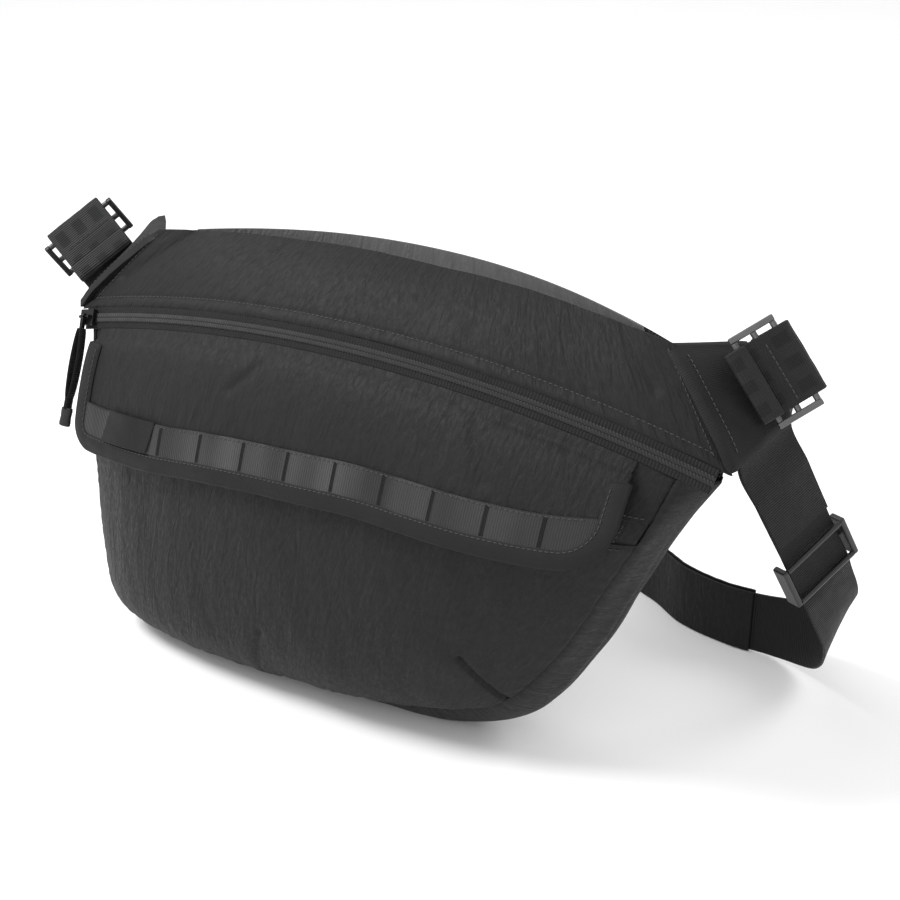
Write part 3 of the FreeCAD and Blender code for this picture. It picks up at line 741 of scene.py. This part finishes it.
def flap_relief(u, v, point):
    height = layered_folds(point, 11.0, (1.2, 52, 60), (0.3, 17, 34), (0.1, 6, 10))
    height += pucker(abs(v - 0.42) * FLAP_HEIGHT, u * (FLAP_RIGHT - FLAP_LEFT), 0.15, 12.0, 7.0)
    for start, end in (((84, 203), (100, 180)), ((100, 208), (140, 202)), ((-60, 205), (-75, 190))):
        height += crease(point, start, end, 3.0, 1.1)
    return height * min(1.0, max(1.08 - v, 0.0) * 8)


# ---- bag shell ----
def rest_on_floor(point, thickness):
    return Vector((point.x, point.y, max(point.z, 0.2 + thickness)))


SHELL_CLOTH = 1.6


def make_shell():
    cloth("gusset_skin", gusset_surface, 2.0, FULL, FULL, (420, 30), "shell_fabric", "bag",
          ["gusset"], relief=gusset_relief, keep=rest_on_floor)
    cloth("front_lower_skin", front_surface, SHELL_CLOTH, FULL, (0.0, POCKET_HEM_LOW), (320, 100),
          "shell_fabric", "bag", ["front_panel_lower"], relief=front_relief)
    cloth("front_upper_skin", front_surface, SHELL_CLOTH, FULL, (POCKET_HEM_HIGH, 1.0), (180, 24),
          "shell_fabric", "bag", ["front_panel_upper"], relief=front_relief)
    cloth("yoke_skin", yoke_surface, SHELL_CLOTH, FULL, (0.0, 0.99), (300, 44), "shell_fabric", "bag",
          ["yoke_panel"], relief=yoke_relief)
    hem_share = 3.5 / PANEL_HEIGHT
    for height in (POCKET_HEM_LOW - hem_share, POCKET_HEM_HIGH + hem_share):
        sew("bag", seam_line(front_surface, (0.03, height), (0.985, height), 160, 0.1, front_relief))
    sew("bag", seam_line(yoke_surface, (0.01, 0.125), (0.99, 0.125), 160, 0.1, yoke_relief))
    for u in (0.014, 0.986):
        sew("bag", seam_line(yoke_surface, (u, 0.1), (u, 0.96), 30, 0.1, yoke_relief))


def back_relief(u, v, point):
    """The pad swells between its edges and two sewn channels."""
    side = min(u, 1 - u) * BACK_WIDTH
    edge = min(side, v * BACK_HEIGHT, (1 - v) * BACK_HEIGHT)
    height = 2.0 * (1 - bell(edge, 14)) - 1.0
    for x in (-62, 62):
        height -= 2.2 * bell(point.x - x, 3.0) * min(1.0, edge / 25)
    # no puckers at the upper edge, where the pocket's lining is turned over
    height += pucker(edge, u * BACK_WIDTH + v * BACK_HEIGHT, 0.5, 12.0) * min(1.0, (1 - v) * 12)
    return height


def make_back():
    pad = cloth("back_mesh_skin", back_surface, 2.2, FULL, FULL, (200, 120), "air_mesh", "bag",
                ["back_panel"], relief=back_relief)
    foam = cloth("back_foam_sheet", back_surface, 5.0, (0.05, 0.95), (0.05, 0.95), (60, 40), "foam", "bag",
                 ["back_foam"], lift=-4.6)

    def to_the_edge(u, v, point):
        """The lining comes out to the pad's upper edge, where it is turned over."""
        share = min(max((v - 0.90) / 0.08, 0.0), 1.0)
        return 5.9 * share * share * (3 - 2 * share) + 0.5 * folds(point, 30, 22, 14.0) * (1 - share)
    cloth("rear_pocket_cloth", back_surface, 0.8, (0.06, 0.94), (0.3, 1.007), (120, 80), "grey_lining", "bag",
          ["rear_pocket_lining"], lift=-9.8, relief=to_the_edge)


def divider(u, v):
    return back_surface(u, v) - Vector((0, 9.8 + 13 * (1 - (2 * u - 1) ** 2), 0))


def pocket_wall(u, v):
    return front_surface(u, v) + Vector((0, 14 + 4 * hump(v), 0))


def make_linings():
    def slack(u, v, point):
        return 0.8 * folds(point, 25, 40, 15.0)
    cloth("main_lining_cloth", divider, 0.8, (0.1, 0.9), (0.25, 0.94), (80, 50), "lining", "bag",
          ["main_lining"], relief=slack)
    cloth("front_pocket_cloth", pocket_wall, 0.8, (0.09, 0.91), (0.1, 0.94), (80, 50), "lining", "bag",
          ["front_pocket_lining"], relief=slack)
    for name, v in (("front_seam_tape", (0.90, 0.955)), ("back_seam_tape", (0.045, 0.10))):
        cloth(name, gusset_surface, 2.0, (0.03, 0.97), v, (240, 3), "binding", "bag",
              [name.replace("tape", "binding")], lift=-2.8)


# ---- wings ----
def make_wing(side, name):
    top_in, low_in, top_out, low_out = [Vector((side * p.x, p.y, p.z)) for p in WING]

    def surface(u, v):
        if side < 0:
            u = 1 - u
        point = mix(mix(low_in, top_in, v), mix(low_out, top_out, v), u)
        return point + Vector((0.5 * side, -0.75, 0.4)) * (1.5 * hump(v) * (1 - u))

    def relief(u, v, point):
        inward = 1 - u if side < 0 else u
        edge = min(v, 1 - v) * WING_HEIGHT
        height = 1.6 * (1 - bell(edge, 6)) - 1.0
        height += pucker(inward * WING_WIDTH, v * WING_HEIGHT, 0.05, 8.0)
        height += 0.5 * folds(point, 22, 30, 16.0 + side)
        return height
    wing = cloth(name + "_pad", surface, 6.0, FULL, FULL, (30, 44), "wing_fabric", "bag", [name],
                 lift=0.2, relief=relief, rim=0.5)
    u = 0.12 if side > 0 else 0.88
    sew("bag", seam_line(surface, (u, 0.05), (u, 0.95), 30, 0.3, relief))


# ---- tabs ----
TAB_LENGTH = 36.0
TAB_GAP = 4.5
HEM = 9.0                        # width of the hem at a tab's inner end
RIGHT_TAB = (Vector((233.4, 33.3, 251.7)), Vector((0.59, 0.65, 0.47)), Vector((-0.64, -0.06, 0.77)))
LEFT_TAB = (Vector((-255, 10.5, 246)), Vector((-0.687, -0.107, 0.72)), Vector((-0.26, -0.58, -0.77)))
# the layer behind each tab, as (x, z) points in the tab's own axes; the left one runs on to its wing
REAR_LAYERS = {
    "right": [(-8, -1), (-14, -5), (-19, -9)],
    "left": [(-8, 0), (-20, 0), (-31, 0), (-42, -1.5), (-52, -4)]}


def placing(origin, x_axis, y_axis):
    """The matrix from a piece's own axes to the bag's, in millimetres."""
    x = x_axis.normalized()
    z = x.cross(y_axis).normalized()
    y = z.cross(x)
    return Matrix((
        (x.x, y.x, z.x, origin.x), (x.y, y.y, z.y, origin.y), (x.z, y.z, z.z, origin.z), (0, 0, 0, 1)))


def strip_surface(path, width, matrix):
    """A strip of webbing along a path of (x, z) points in its own axes."""
    points = [Vector((x, 0, z)) for x, z in path]

    def surface(u, v):
        centre = smooth(points, u * (len(points) - 1))
        return matrix @ (centre + Vector((0, (v - 0.5) * width, 0)))
    return surface


def make_tab(frame_of_tab, side_name):
    matrix = placing(*frame_of_tab)
    half = TAB_GAP / 2 + WEBBING / 2
    path = [(-TAB_LENGTH, half), (-24, half), (-14, half), (-8, half), (-3, half), (-0.9, half * 0.72),
            (0, 0), (-0.9, -half * 0.72), (-3, -half)]
    path += [(x, z - half) for x, z in REAR_LAYERS[side_name]]
    surface = strip_surface(path, WEBBING_WIDTH, matrix)

    def wavy(u, v, point):
        return 0.25 * noise.noise(point / 9)
    cloth("tab_strip_" + side_name, surface, WEBBING, FULL, FULL, (110, 30), "webbing", "bag",
          ["tab_" + side_name], look="tab_webbing", lift=-WEBBING / 2, relief=wavy)
    top = TAB_GAP / 2 + WEBBING + 0.3
    fold = strip_surface([(-TAB_LENGTH + HEM, top), (-TAB_LENGTH + 5, top), (-TAB_LENGTH + 1, top),
                          (-TAB_LENGTH - 0.6, top - 0.8)], WEBBING_WIDTH, matrix)
    cloth("tab_fold_" + side_name, fold, WEBBING, FULL, FULL, (16, 30), "webbing", "bag",
          ["tab_hem_" + side_name], look="tab_webbing", lift=-WEBBING)
    out = matrix.to_3x3() @ Vector((0, 0, 1))
    for x, height in ((-TAB_LENGTH + HEM - 2.0, top + WEBBING), (-17, half + WEBBING / 2)):
        ends = [matrix @ Vector((x, s * (WEBBING_WIDTH / 2 - 1.5), height)) for s in (-1, 1)]
        sew("bag", [(ends[0], out), (ends[1], out)], 0.15)


# ---- zips ----
COIL_PITCH = 1.9


def zip_band(arc, radial_way, axial_way, middle):
    """A function from (angle, across, out) to a point of a zip's band."""
    def point(angle, across, out):
        radial = middle + radial_way[0] * across + radial_way[1] * out
        axial = middle + axial_way[0] * across + axial_way[1] * out
        return arc.point(angle, radial, axial)
    return point


def make_zip(prefix, arc, angles, band, tape_width, body, tape_nodes, coil_nodes):
    length = (angles[1] - angles[0]) * arc.radius

    def half_band(side, near, far, out):
        def surface(u, v):
            return band(mix(*angles, u if side > 0 else 1 - u), mix(near, far, v) * side, out)
        return surface

    def tape(side):
        return grid(half_band(side, 1.0, tape_width, 0.4), 0.8, (0, 1), (0, 1), (160, 3))

    def coil(side):
        """One half of the chain: slanted ridges that lock with the other half's."""
        count = int(length / COIL_PITCH)

        def ridges(u, v, point):
            phase = u * count + (0.0 if side > 0 else 0.5) + v * 0.7
            return 0.45 + 0.4 * math.cos(2 * math.pi * phase)
        return grid(half_band(side, 0.12, 2.5, 0.5), 1.0, (0, 1), (0, 1), (count * 5, 4), relief=ridges)
    add_piece(prefix + "_tapes", *joined([tape(1), tape(-1)]), "zip_tape", body, tape_nodes)
    add_piece(prefix + "_chain", *joined([coil(1), coil(-1)]), "zip_coil", body, coil_nodes, sharp=180)


def make_zips():
    end = main_arc.angle_at(ZIP_HALF_SPAN - 1)
    band = zip_band(main_arc, (ZIP_SLOPE, ZIP_SLOPE), (ZIP_SLOPE, -ZIP_SLOPE), BAND_MIDDLE)
    make_zip("main_zip", main_arc, (-end, end), band, 6.4, "bag",
             ["zip_tape_upper", "zip_tape_lower"], ["zip_coil"])
    middle = (POCKET_HEM_LOW + POCKET_HEM_HIGH) / 2
    ends = [front_surface(u, middle) + Vector((0, 5.8, 0)) for u in (0.07, 0.5, 0.93)]
    arc = Arc(*ends)
    sign = 1 if arc.axis.z > 0 else -1
    band = zip_band(arc, (0, 1), (sign, 0), 0.0)
    make_zip("pocket_zip", arc, (arc.angle_of(ends[0]), arc.angle_of(ends[2])), band, 9.0, "bag",
             ["pocket_zip_tapes"], ["pocket_zip_coil"])


# ---- main zip pull ----
PULL_LENGTH = 68.0
PULL_LEAN = math.radians(20)
SLIDER_FROM_END = 5.0
# (share of its length, share of its width) down the moulded end
PULL_END_SHAPE = ((0.0, 0.7), (0.04, 0.95), (0.2, 1.0), (0.5, 0.92), (0.8, 1.0), (0.96, 0.95), (1.0, 0.7))


def make_pull():
    """A loop of ribbed webbing on the slider's link, with a moulded end."""
    angle = main_arc.angle_at(-ZIP_HALF_SPAN + SLIDER_FROM_END)
    radial = BAND_MIDDLE + ZIP_SLOPE * 6.0
    axial = BAND_MIDDLE - ZIP_SLOPE * 6.0
    pivot = main_arc.point(angle, radial, axial)
    down = Vector((0, -math.sin(PULL_LEAN), -math.cos(PULL_LEAN)))
    across = Vector((1, 0, 0))
    out = across.cross(down).normalized()
    loops = []
    for side in (-1, 1):
        path = []
        for k in range(25):
            share = k / 24
            # the loop's two sides part below the link and meet again at the end
            spread = 0.5 + 1.9 * math.sin(math.pi * min(share * 1.15, 1.0)) ** 0.6
            path.append(pivot + down * mix(7.5, PULL_LENGTH - 11.4, share) + across * (side * spread))
        loops.append(tube(path, [(out, across)] * len(path), oval(6.4, 1.7, 10)))
    add_piece("pull_loop", *joined(loops), "pull_cord", "zip_pull", ["zip_pull_cord"])
    path = []
    sections = []
    for share, size in PULL_END_SHAPE:
        path.append(pivot + down * mix(PULL_LENGTH - 11.8, PULL_LENGTH - 0.2, share))
        sections.append(size)
    parts = tube(path, [(across * s, out * s) for s in sections], oval(8.6, 4.8, 20))
    add_piece("pull_end", *parts, "pull_grip", "zip_pull", ["zip_pull_grip"], look="pull_cord")


# ---- flap ----
BINDING_WIDTH = 9.0
STRIP_WIDTH = 20.0
CORNERS = (15.0, 26.0)           # radius of the flap's lower left and lower right corners
BARTACKS = [0.20 + 0.09 * k for k in range(9)]
LABEL_SPAN = (31.0, 71.0)        # from the flap's left edge
DROP_STEPS = 40


def drop_at(u):
    """The length of the flap down its own surface."""
    points = [flap_surface(u, k / 8) for k in range(9)]
    return sum((b - a).length for a, b in zip(points, points[1:]))


FLAP_DROPS = [drop_at(k / DROP_STEPS) for k in range(DROP_STEPS + 1)]


def flap_place(x, height):
    """The (u, v) place on the flap that is height above its lower edge."""
    u = (x - FLAP_LEFT) / (FLAP_RIGHT - FLAP_LEFT)
    step = min(max(u * DROP_STEPS, 0.0), DROP_STEPS - 1e-6)
    drop = mix(FLAP_DROPS[int(step)], FLAP_DROPS[int(step) + 1], step - int(step))
    return u, height / drop


def corner_rise(x, inset):
    """How far the rounded corners lift the flap's outline at x, when it is drawn inset."""
    for radius, gap in zip(CORNERS, (x - FLAP_LEFT - inset, FLAP_RIGHT - inset - x)):
        r = radius - inset
        if gap < r:
            return r - math.sqrt(max(r * r - (r - max(gap, 0.0)) ** 2, 0.0))
    return 0.0


def flap_outline(step=2.5):
    """The flap's edge from its left top, down and round to its right top, as (x, height,
    inward x, inward height)."""
    stations = []
    left, right = CORNERS

    def round_corner(centre_x, radius, a):
        across = math.cos(a)
        up = math.sin(a)
        stations.append((centre_x + radius * across, radius * (1 + up), -across, -up))
    rise = FLAP_DROPS[0] * 0.97
    for k in range(int((rise - left) / step)):
        stations.append((FLAP_LEFT, rise - k * step, 1.0, 0.0))
    for k in range(13):
        round_corner(FLAP_LEFT + left, left, math.pi * (1 + k / 24))
    span = FLAP_RIGHT - FLAP_LEFT - left - right
    for k in range(1, int(span / step)):
        stations.append((FLAP_LEFT + left + k * step, 0.0, 0.0, 1.0))
    for k in range(17):
        round_corner(FLAP_RIGHT - right, right, math.pi * (1.5 + k / 32))
    rise = FLAP_DROPS[-1] * 0.97
    for k in range(1, int((rise - right) / step)):
        stations.append((FLAP_RIGHT, right + k * step, -1.0, 0.0))
    return stations


OUTLINE = flap_outline()


def edge_place(u, inset):
    """The (u, v) place on the flap that is inset from its edge; u runs along the edge."""
    place = u * (len(OUTLINE) - 1)
    index = min(int(place), len(OUTLINE) - 2)
    ends = zip(OUTLINE[index], OUTLINE[index + 1])
    x, height, in_x, in_height = (mix(a, b, place - index) for a, b in ends)
    return flap_place(x + in_x * inset, height + in_height * inset)


def edge_surface(u, v):
    return flap_surface(*edge_place(u, v * BINDING_WIDTH))


def edge_relief(u, v, point):
    """The tape is folded round the edge, so it is fullest along its middle."""
    return flap_relief(*edge_place(u, v * BINDING_WIDTH), point) + 0.6 * hump(min(max(v, 0.0), 1.0))


def shell_surface(u, v):
    x = mix(FLAP_LEFT + 1.5, FLAP_RIGHT - 1.5, u)
    u_flap, low = flap_place(x, 1.5 + corner_rise(x, 1.5))
    return flap_surface(u_flap, mix(low, 1.12, v))


def shell_relief(u, v, point):
    return flap_relief(u, mix(0.02, 1.12, v), point)


def strip_surface_at(u, v):
    x = mix(FLAP_LEFT + BINDING_WIDTH - 1, FLAP_RIGHT - BINDING_WIDTH + 1, u)
    low = BINDING_WIDTH - 1.5
    height = mix(low + corner_rise(x, low), low + STRIP_WIDTH, v)
    return flap_surface(*flap_place(x, height))


def strip_relief(u, v, point):
    """The webbing is held flat at the bartacks and stands proud between them."""
    nearest = min(BARTACKS, key=lambda b: abs(b - u))
    free = min(abs(u - nearest) / 0.045, 1.0) if BARTACKS[0] < u < BARTACKS[-1] else 0.0
    return 0.5 * math.sin(math.pi / 2 * free) * hump(v) + flap_relief(u, 0.3, point)


def make_flap():
    shell = cloth("flap_cloth", shell_surface, 1.5, FULL, FULL, (260, 66), "shell_fabric", None,
                  ["flap_shell", "flap_root"], relief=shell_relief)
    binding = cloth("flap_edge_tape", edge_surface, 1.8, FULL, (-0.12, 1.0), (300, 10), "binding", None,
                    ["flap_binding"], lift=1.5, relief=edge_relief, rim=0.5)
    cloth("flap_strip", strip_surface_at, 1.0, FULL, FULL, (280, 12), "webbing", "flap",
          ["flap_webbing"], look="strip_webbing", lift=1.4, relief=strip_relief)
    bars = []
    for middle in BARTACKS:
        for offset in (-0.0022, 0.0, 0.0022):
            u = middle + offset
            line = seam_line(strip_surface_at, (u, 0.1), (u, 0.95), 24, 1.5, strip_relief)
            side = (strip_surface_at(middle + 0.01, 0.5) - strip_surface_at(middle, 0.5)).normalized()
            bars.append(tube([p for p, _ in line], [(side, out) for _, out in line], oval(0.7, 0.5, 6)))
    add_piece("flap_bartack_threads", *joined(bars), "thread", "flap", ["flap_bartacks"], look="binding")

    def label_surface(u, v):
        x = FLAP_LEFT + mix(*LABEL_SPAN, u) + 2.5 * v
        return flap_surface(*flap_place(x, mix(BINDING_WIDTH + 0.5, BINDING_WIDTH + STRIP_WIDTH - 0.5, v)))

    def label_relief(u, v, point):
        return flap_relief(0.1, 0.3, point) + 1.2 * (1 - v) ** 2 + 0.4 * math.sin(5 * u)
    cloth("flap_label_patch", label_surface, 1.0, FULL, FULL, (40, 20), "label", "flap",
          ["flap_label"], lift=2.7, relief=label_relief)
    sew("flap", seam_line(edge_surface, (0.005, 0.86), (0.995, 0.86), 300, 1.6, edge_relief))
    sew("flap", seam_line(strip_surface_at, (0.01, 0.95), (0.985, 0.95), 160, 1.5, strip_relief))
    for piece in (shell, binding):
        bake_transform(piece)


def make_pocket_ends():
    """The pocket's two hems are closed by a patch at each end of the zip."""
    def relief(u, v, point):
        return 0.3 * folds(point, 12, 14, 21.0) + front_relief(u, v, point) * 0.5
    height = (POCKET_HEM_LOW - 0.012, POCKET_HEM_HIGH + 0.012)
    cloth("pocket_end_patch", front_surface, 1.2, (0.94, 0.992), height, (16, 20), "shell_fabric", "bag",
          ["pocket_zip_end_tab"], lift=-1.0, relief=relief)
    cloth("pocket_start_patch", front_surface, 1.2, (0.008, 0.07), height, (20, 20), "shell_fabric", "bag",
          lift=-1.0, relief=relief)
    for u in (0.948, 0.962):
        sew("bag", seam_line(front_surface, (u, POCKET_HEM_LOW), (u, POCKET_HEM_HIGH), 12, -0.8, relief))


# ---- shoulder strap ----
GLIDE_AT = Vector((218, 99, 106))
GLIDE_WAY = Vector((19, 40, -80)).normalized()
STRAP_ROUTE = [Vector((208, 46, 214))] + [GLIDE_AT + GLIDE_WAY * d for d in (-88, -60, -32, -4, 24)] + [
    Vector(p) for p in (
        (222, 130, 55), (203, 152, 30), (172, 163, 21), (138, 162, 20.2), (101, 170, 20.2),
        (66, 190, 20.2), (0, 214, 20.2), (-70, 218, 20.2), (-140, 200, 21.5), (-196, 162, 40),
        (-230, 116, 95), (-247, 74, 160), (-247, 48, 204))]
STRAP_WAYS = [Vector(p).normalized() for p in (
    (0.36, 0.61, 0.60), (0.30, 0.60, 0.70), (0.26, 0.58, 0.77), (0.2, 0.56, 0.80), (0.2, 0.56, 0.80),
    (0.2, 0.56, 0.80), (0.2, 0.56, 0.85), (0.1, 0.40, 0.95), (0.02, 0.12, 1), (0, 0, 1), (0, 0, 1),
    (0, 0, 1), (0, 0, 1), (0, 0, 1), (-0.05, 0.2, 1), (-0.15, 0.5, 0.8), (-0.1, 0.75, 0.6),
    (0.1, 0.70, 0.65), (0.26, 0.58, 0.77))]


def strap_surface(u, v):
    last = len(STRAP_ROUTE) - 1
    place = u * last
    run = smooth(STRAP_ROUTE, min(place + 0.1, last)) - smooth(STRAP_ROUTE, max(place - 0.1, 0))
    way = square_to(smooth(STRAP_WAYS, place), run)
    return smooth(STRAP_ROUTE, place) + way * ((v - 0.5) * WEBBING_WIDTH)


def strap_share(index):
    return index / (len(STRAP_ROUTE) - 1)


def strap_relief(u, v, point):
    return 0.35 * noise.noise(point / 28) + 0.12 * noise.noise(point / 7)


def make_strap():
    cloth("strap_webbing", strap_surface, WEBBING, (0.006, 0.997), (0, 1), (420, 14), "webbing", "bag",
          ["shoulder_strap"], lift=WEBBING / 2, relief=strap_relief, keep=rest_on_floor)
    cloth("strap_return_webbing", strap_surface, 1.2, (0.010, strap_share(3.2)), (0, 1), (90, 14), "webbing",
          "bag", ["strap_return"], lift=WEBBING / 2 + 2.0, relief=strap_relief)
    span = (strap_share(8.6), strap_share(11.6))

    def slack(u, v, point):
        return 0.9 * noise.noise(point / 16) + 0.4 * noise.noise(point / 6) + 0.5 * bell((v - 0.5) * 38, 8)
    outer = grid(strap_surface, 1.4, span, (-0.03, 1.03), (110, 18), lift=WEBBING / 2 + 1.7, relief=slack,
                 keep=rest_on_floor)
    inner = grid(strap_surface, 1.4, span, (-0.03, 1.03), (110, 18), lift=-WEBBING / 2 - 0.3,
                 keep=rest_on_floor)
    add_piece("strap_sleeve_cloth", *joined([outer, inner]), "shell_fabric", "bag", ["strap_sleeve"])
    for u in (span[0] + 0.004, span[1] - 0.004):
        sew("bag", seam_line(strap_surface, (u, 0.0), (u, 1.0), 12, WEBBING / 2 + 1.8, slack))


def finish_stitches():
    add_piece("stitches_bag", *joined(stitches["bag"]), "thread", "bag", sharp=80)
    on_flap = add_piece("stitches_flap", *joined(stitches["flap"]), "thread", None, sharp=80)
    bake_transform(on_flap)


# ---- the CAD pieces that stay ----
KEPT = {
    "zip_slider": "metal_black", "pocket_zip_slider": "metal_black", "zip_pull_link": "metal_black",
    "buckle_left": "buckle_plastic", "buckle_right": "metal", "tri_glide": "buckle_plastic"}


def finish_hardware():
    for node, look in KEPT.items():
        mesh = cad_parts[node].data
        mesh.materials.clear()
        mesh.materials.append(LOOKS[look])


# ---- studio ----
def area_light(name, place, size, power):
    data = bpy.data.lights.new(name, "AREA")
    data.shape = "DISK"
    data.size = size
    data.energy = power
    light = new_object(name, data)
    light.location = place
    light.rotation_euler = (Vector(place) - AIM).to_track_quat("Z", "Y").to_euler()


def make_studio():
    floor_mesh = bpy.data.meshes.new("floor")
    reach = 6.0
    floor_mesh.from_pydata([(-reach, -reach, 0), (reach, -reach, 0), (reach, reach, 0), (-reach, reach, 0)],
                           [], [(0, 1, 2, 3)])
    look = Look("floor", None)
    grain = look.noise(0.01, 0.01, 2.0)
    look.colour(grain, 0.94, 0.96)
    floor_mesh.materials.append(look.set(Roughness=0.9, Specular_IOR_Level=0.1))
    new_object("floor", floor_mesh)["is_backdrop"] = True
    world = bpy.data.worlds.new("studio")
    world.use_nodes = True
    world.node_tree.nodes["Background"].inputs["Color"].default_value = (1, 1, 1, 1)
    world.node_tree.nodes["Background"].inputs["Strength"].default_value = 0.92
    bpy.context.scene.world = world
    area_light("key", (-0.9, -0.7, 1.5), 0.7, 26)
    area_light("front", (0.8, -1.6, 1.0), 1.2, 4)
    area_light("rim", (0.9, 1.3, 1.1), 0.8, 8)
    # plain tones, so that white stays white and black cloth stays dark
    bpy.context.scene.view_settings.view_transform = "Standard"


make_shell()
make_back()
make_linings()
make_wing(1, "wing_right")
make_wing(-1, "wing_left")
make_tab(RIGHT_TAB, "right")
make_tab(LEFT_TAB, "left")
make_zips()
make_pull()
make_flap()
make_pocket_ends()
make_strap()
finish_stitches()
finish_hardware()
make_studio()

boxes = {"cad": cad_box, "visual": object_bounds()}
{name: [[float(x) for x in corner] for corner in box] for name, box in boxes.items()}
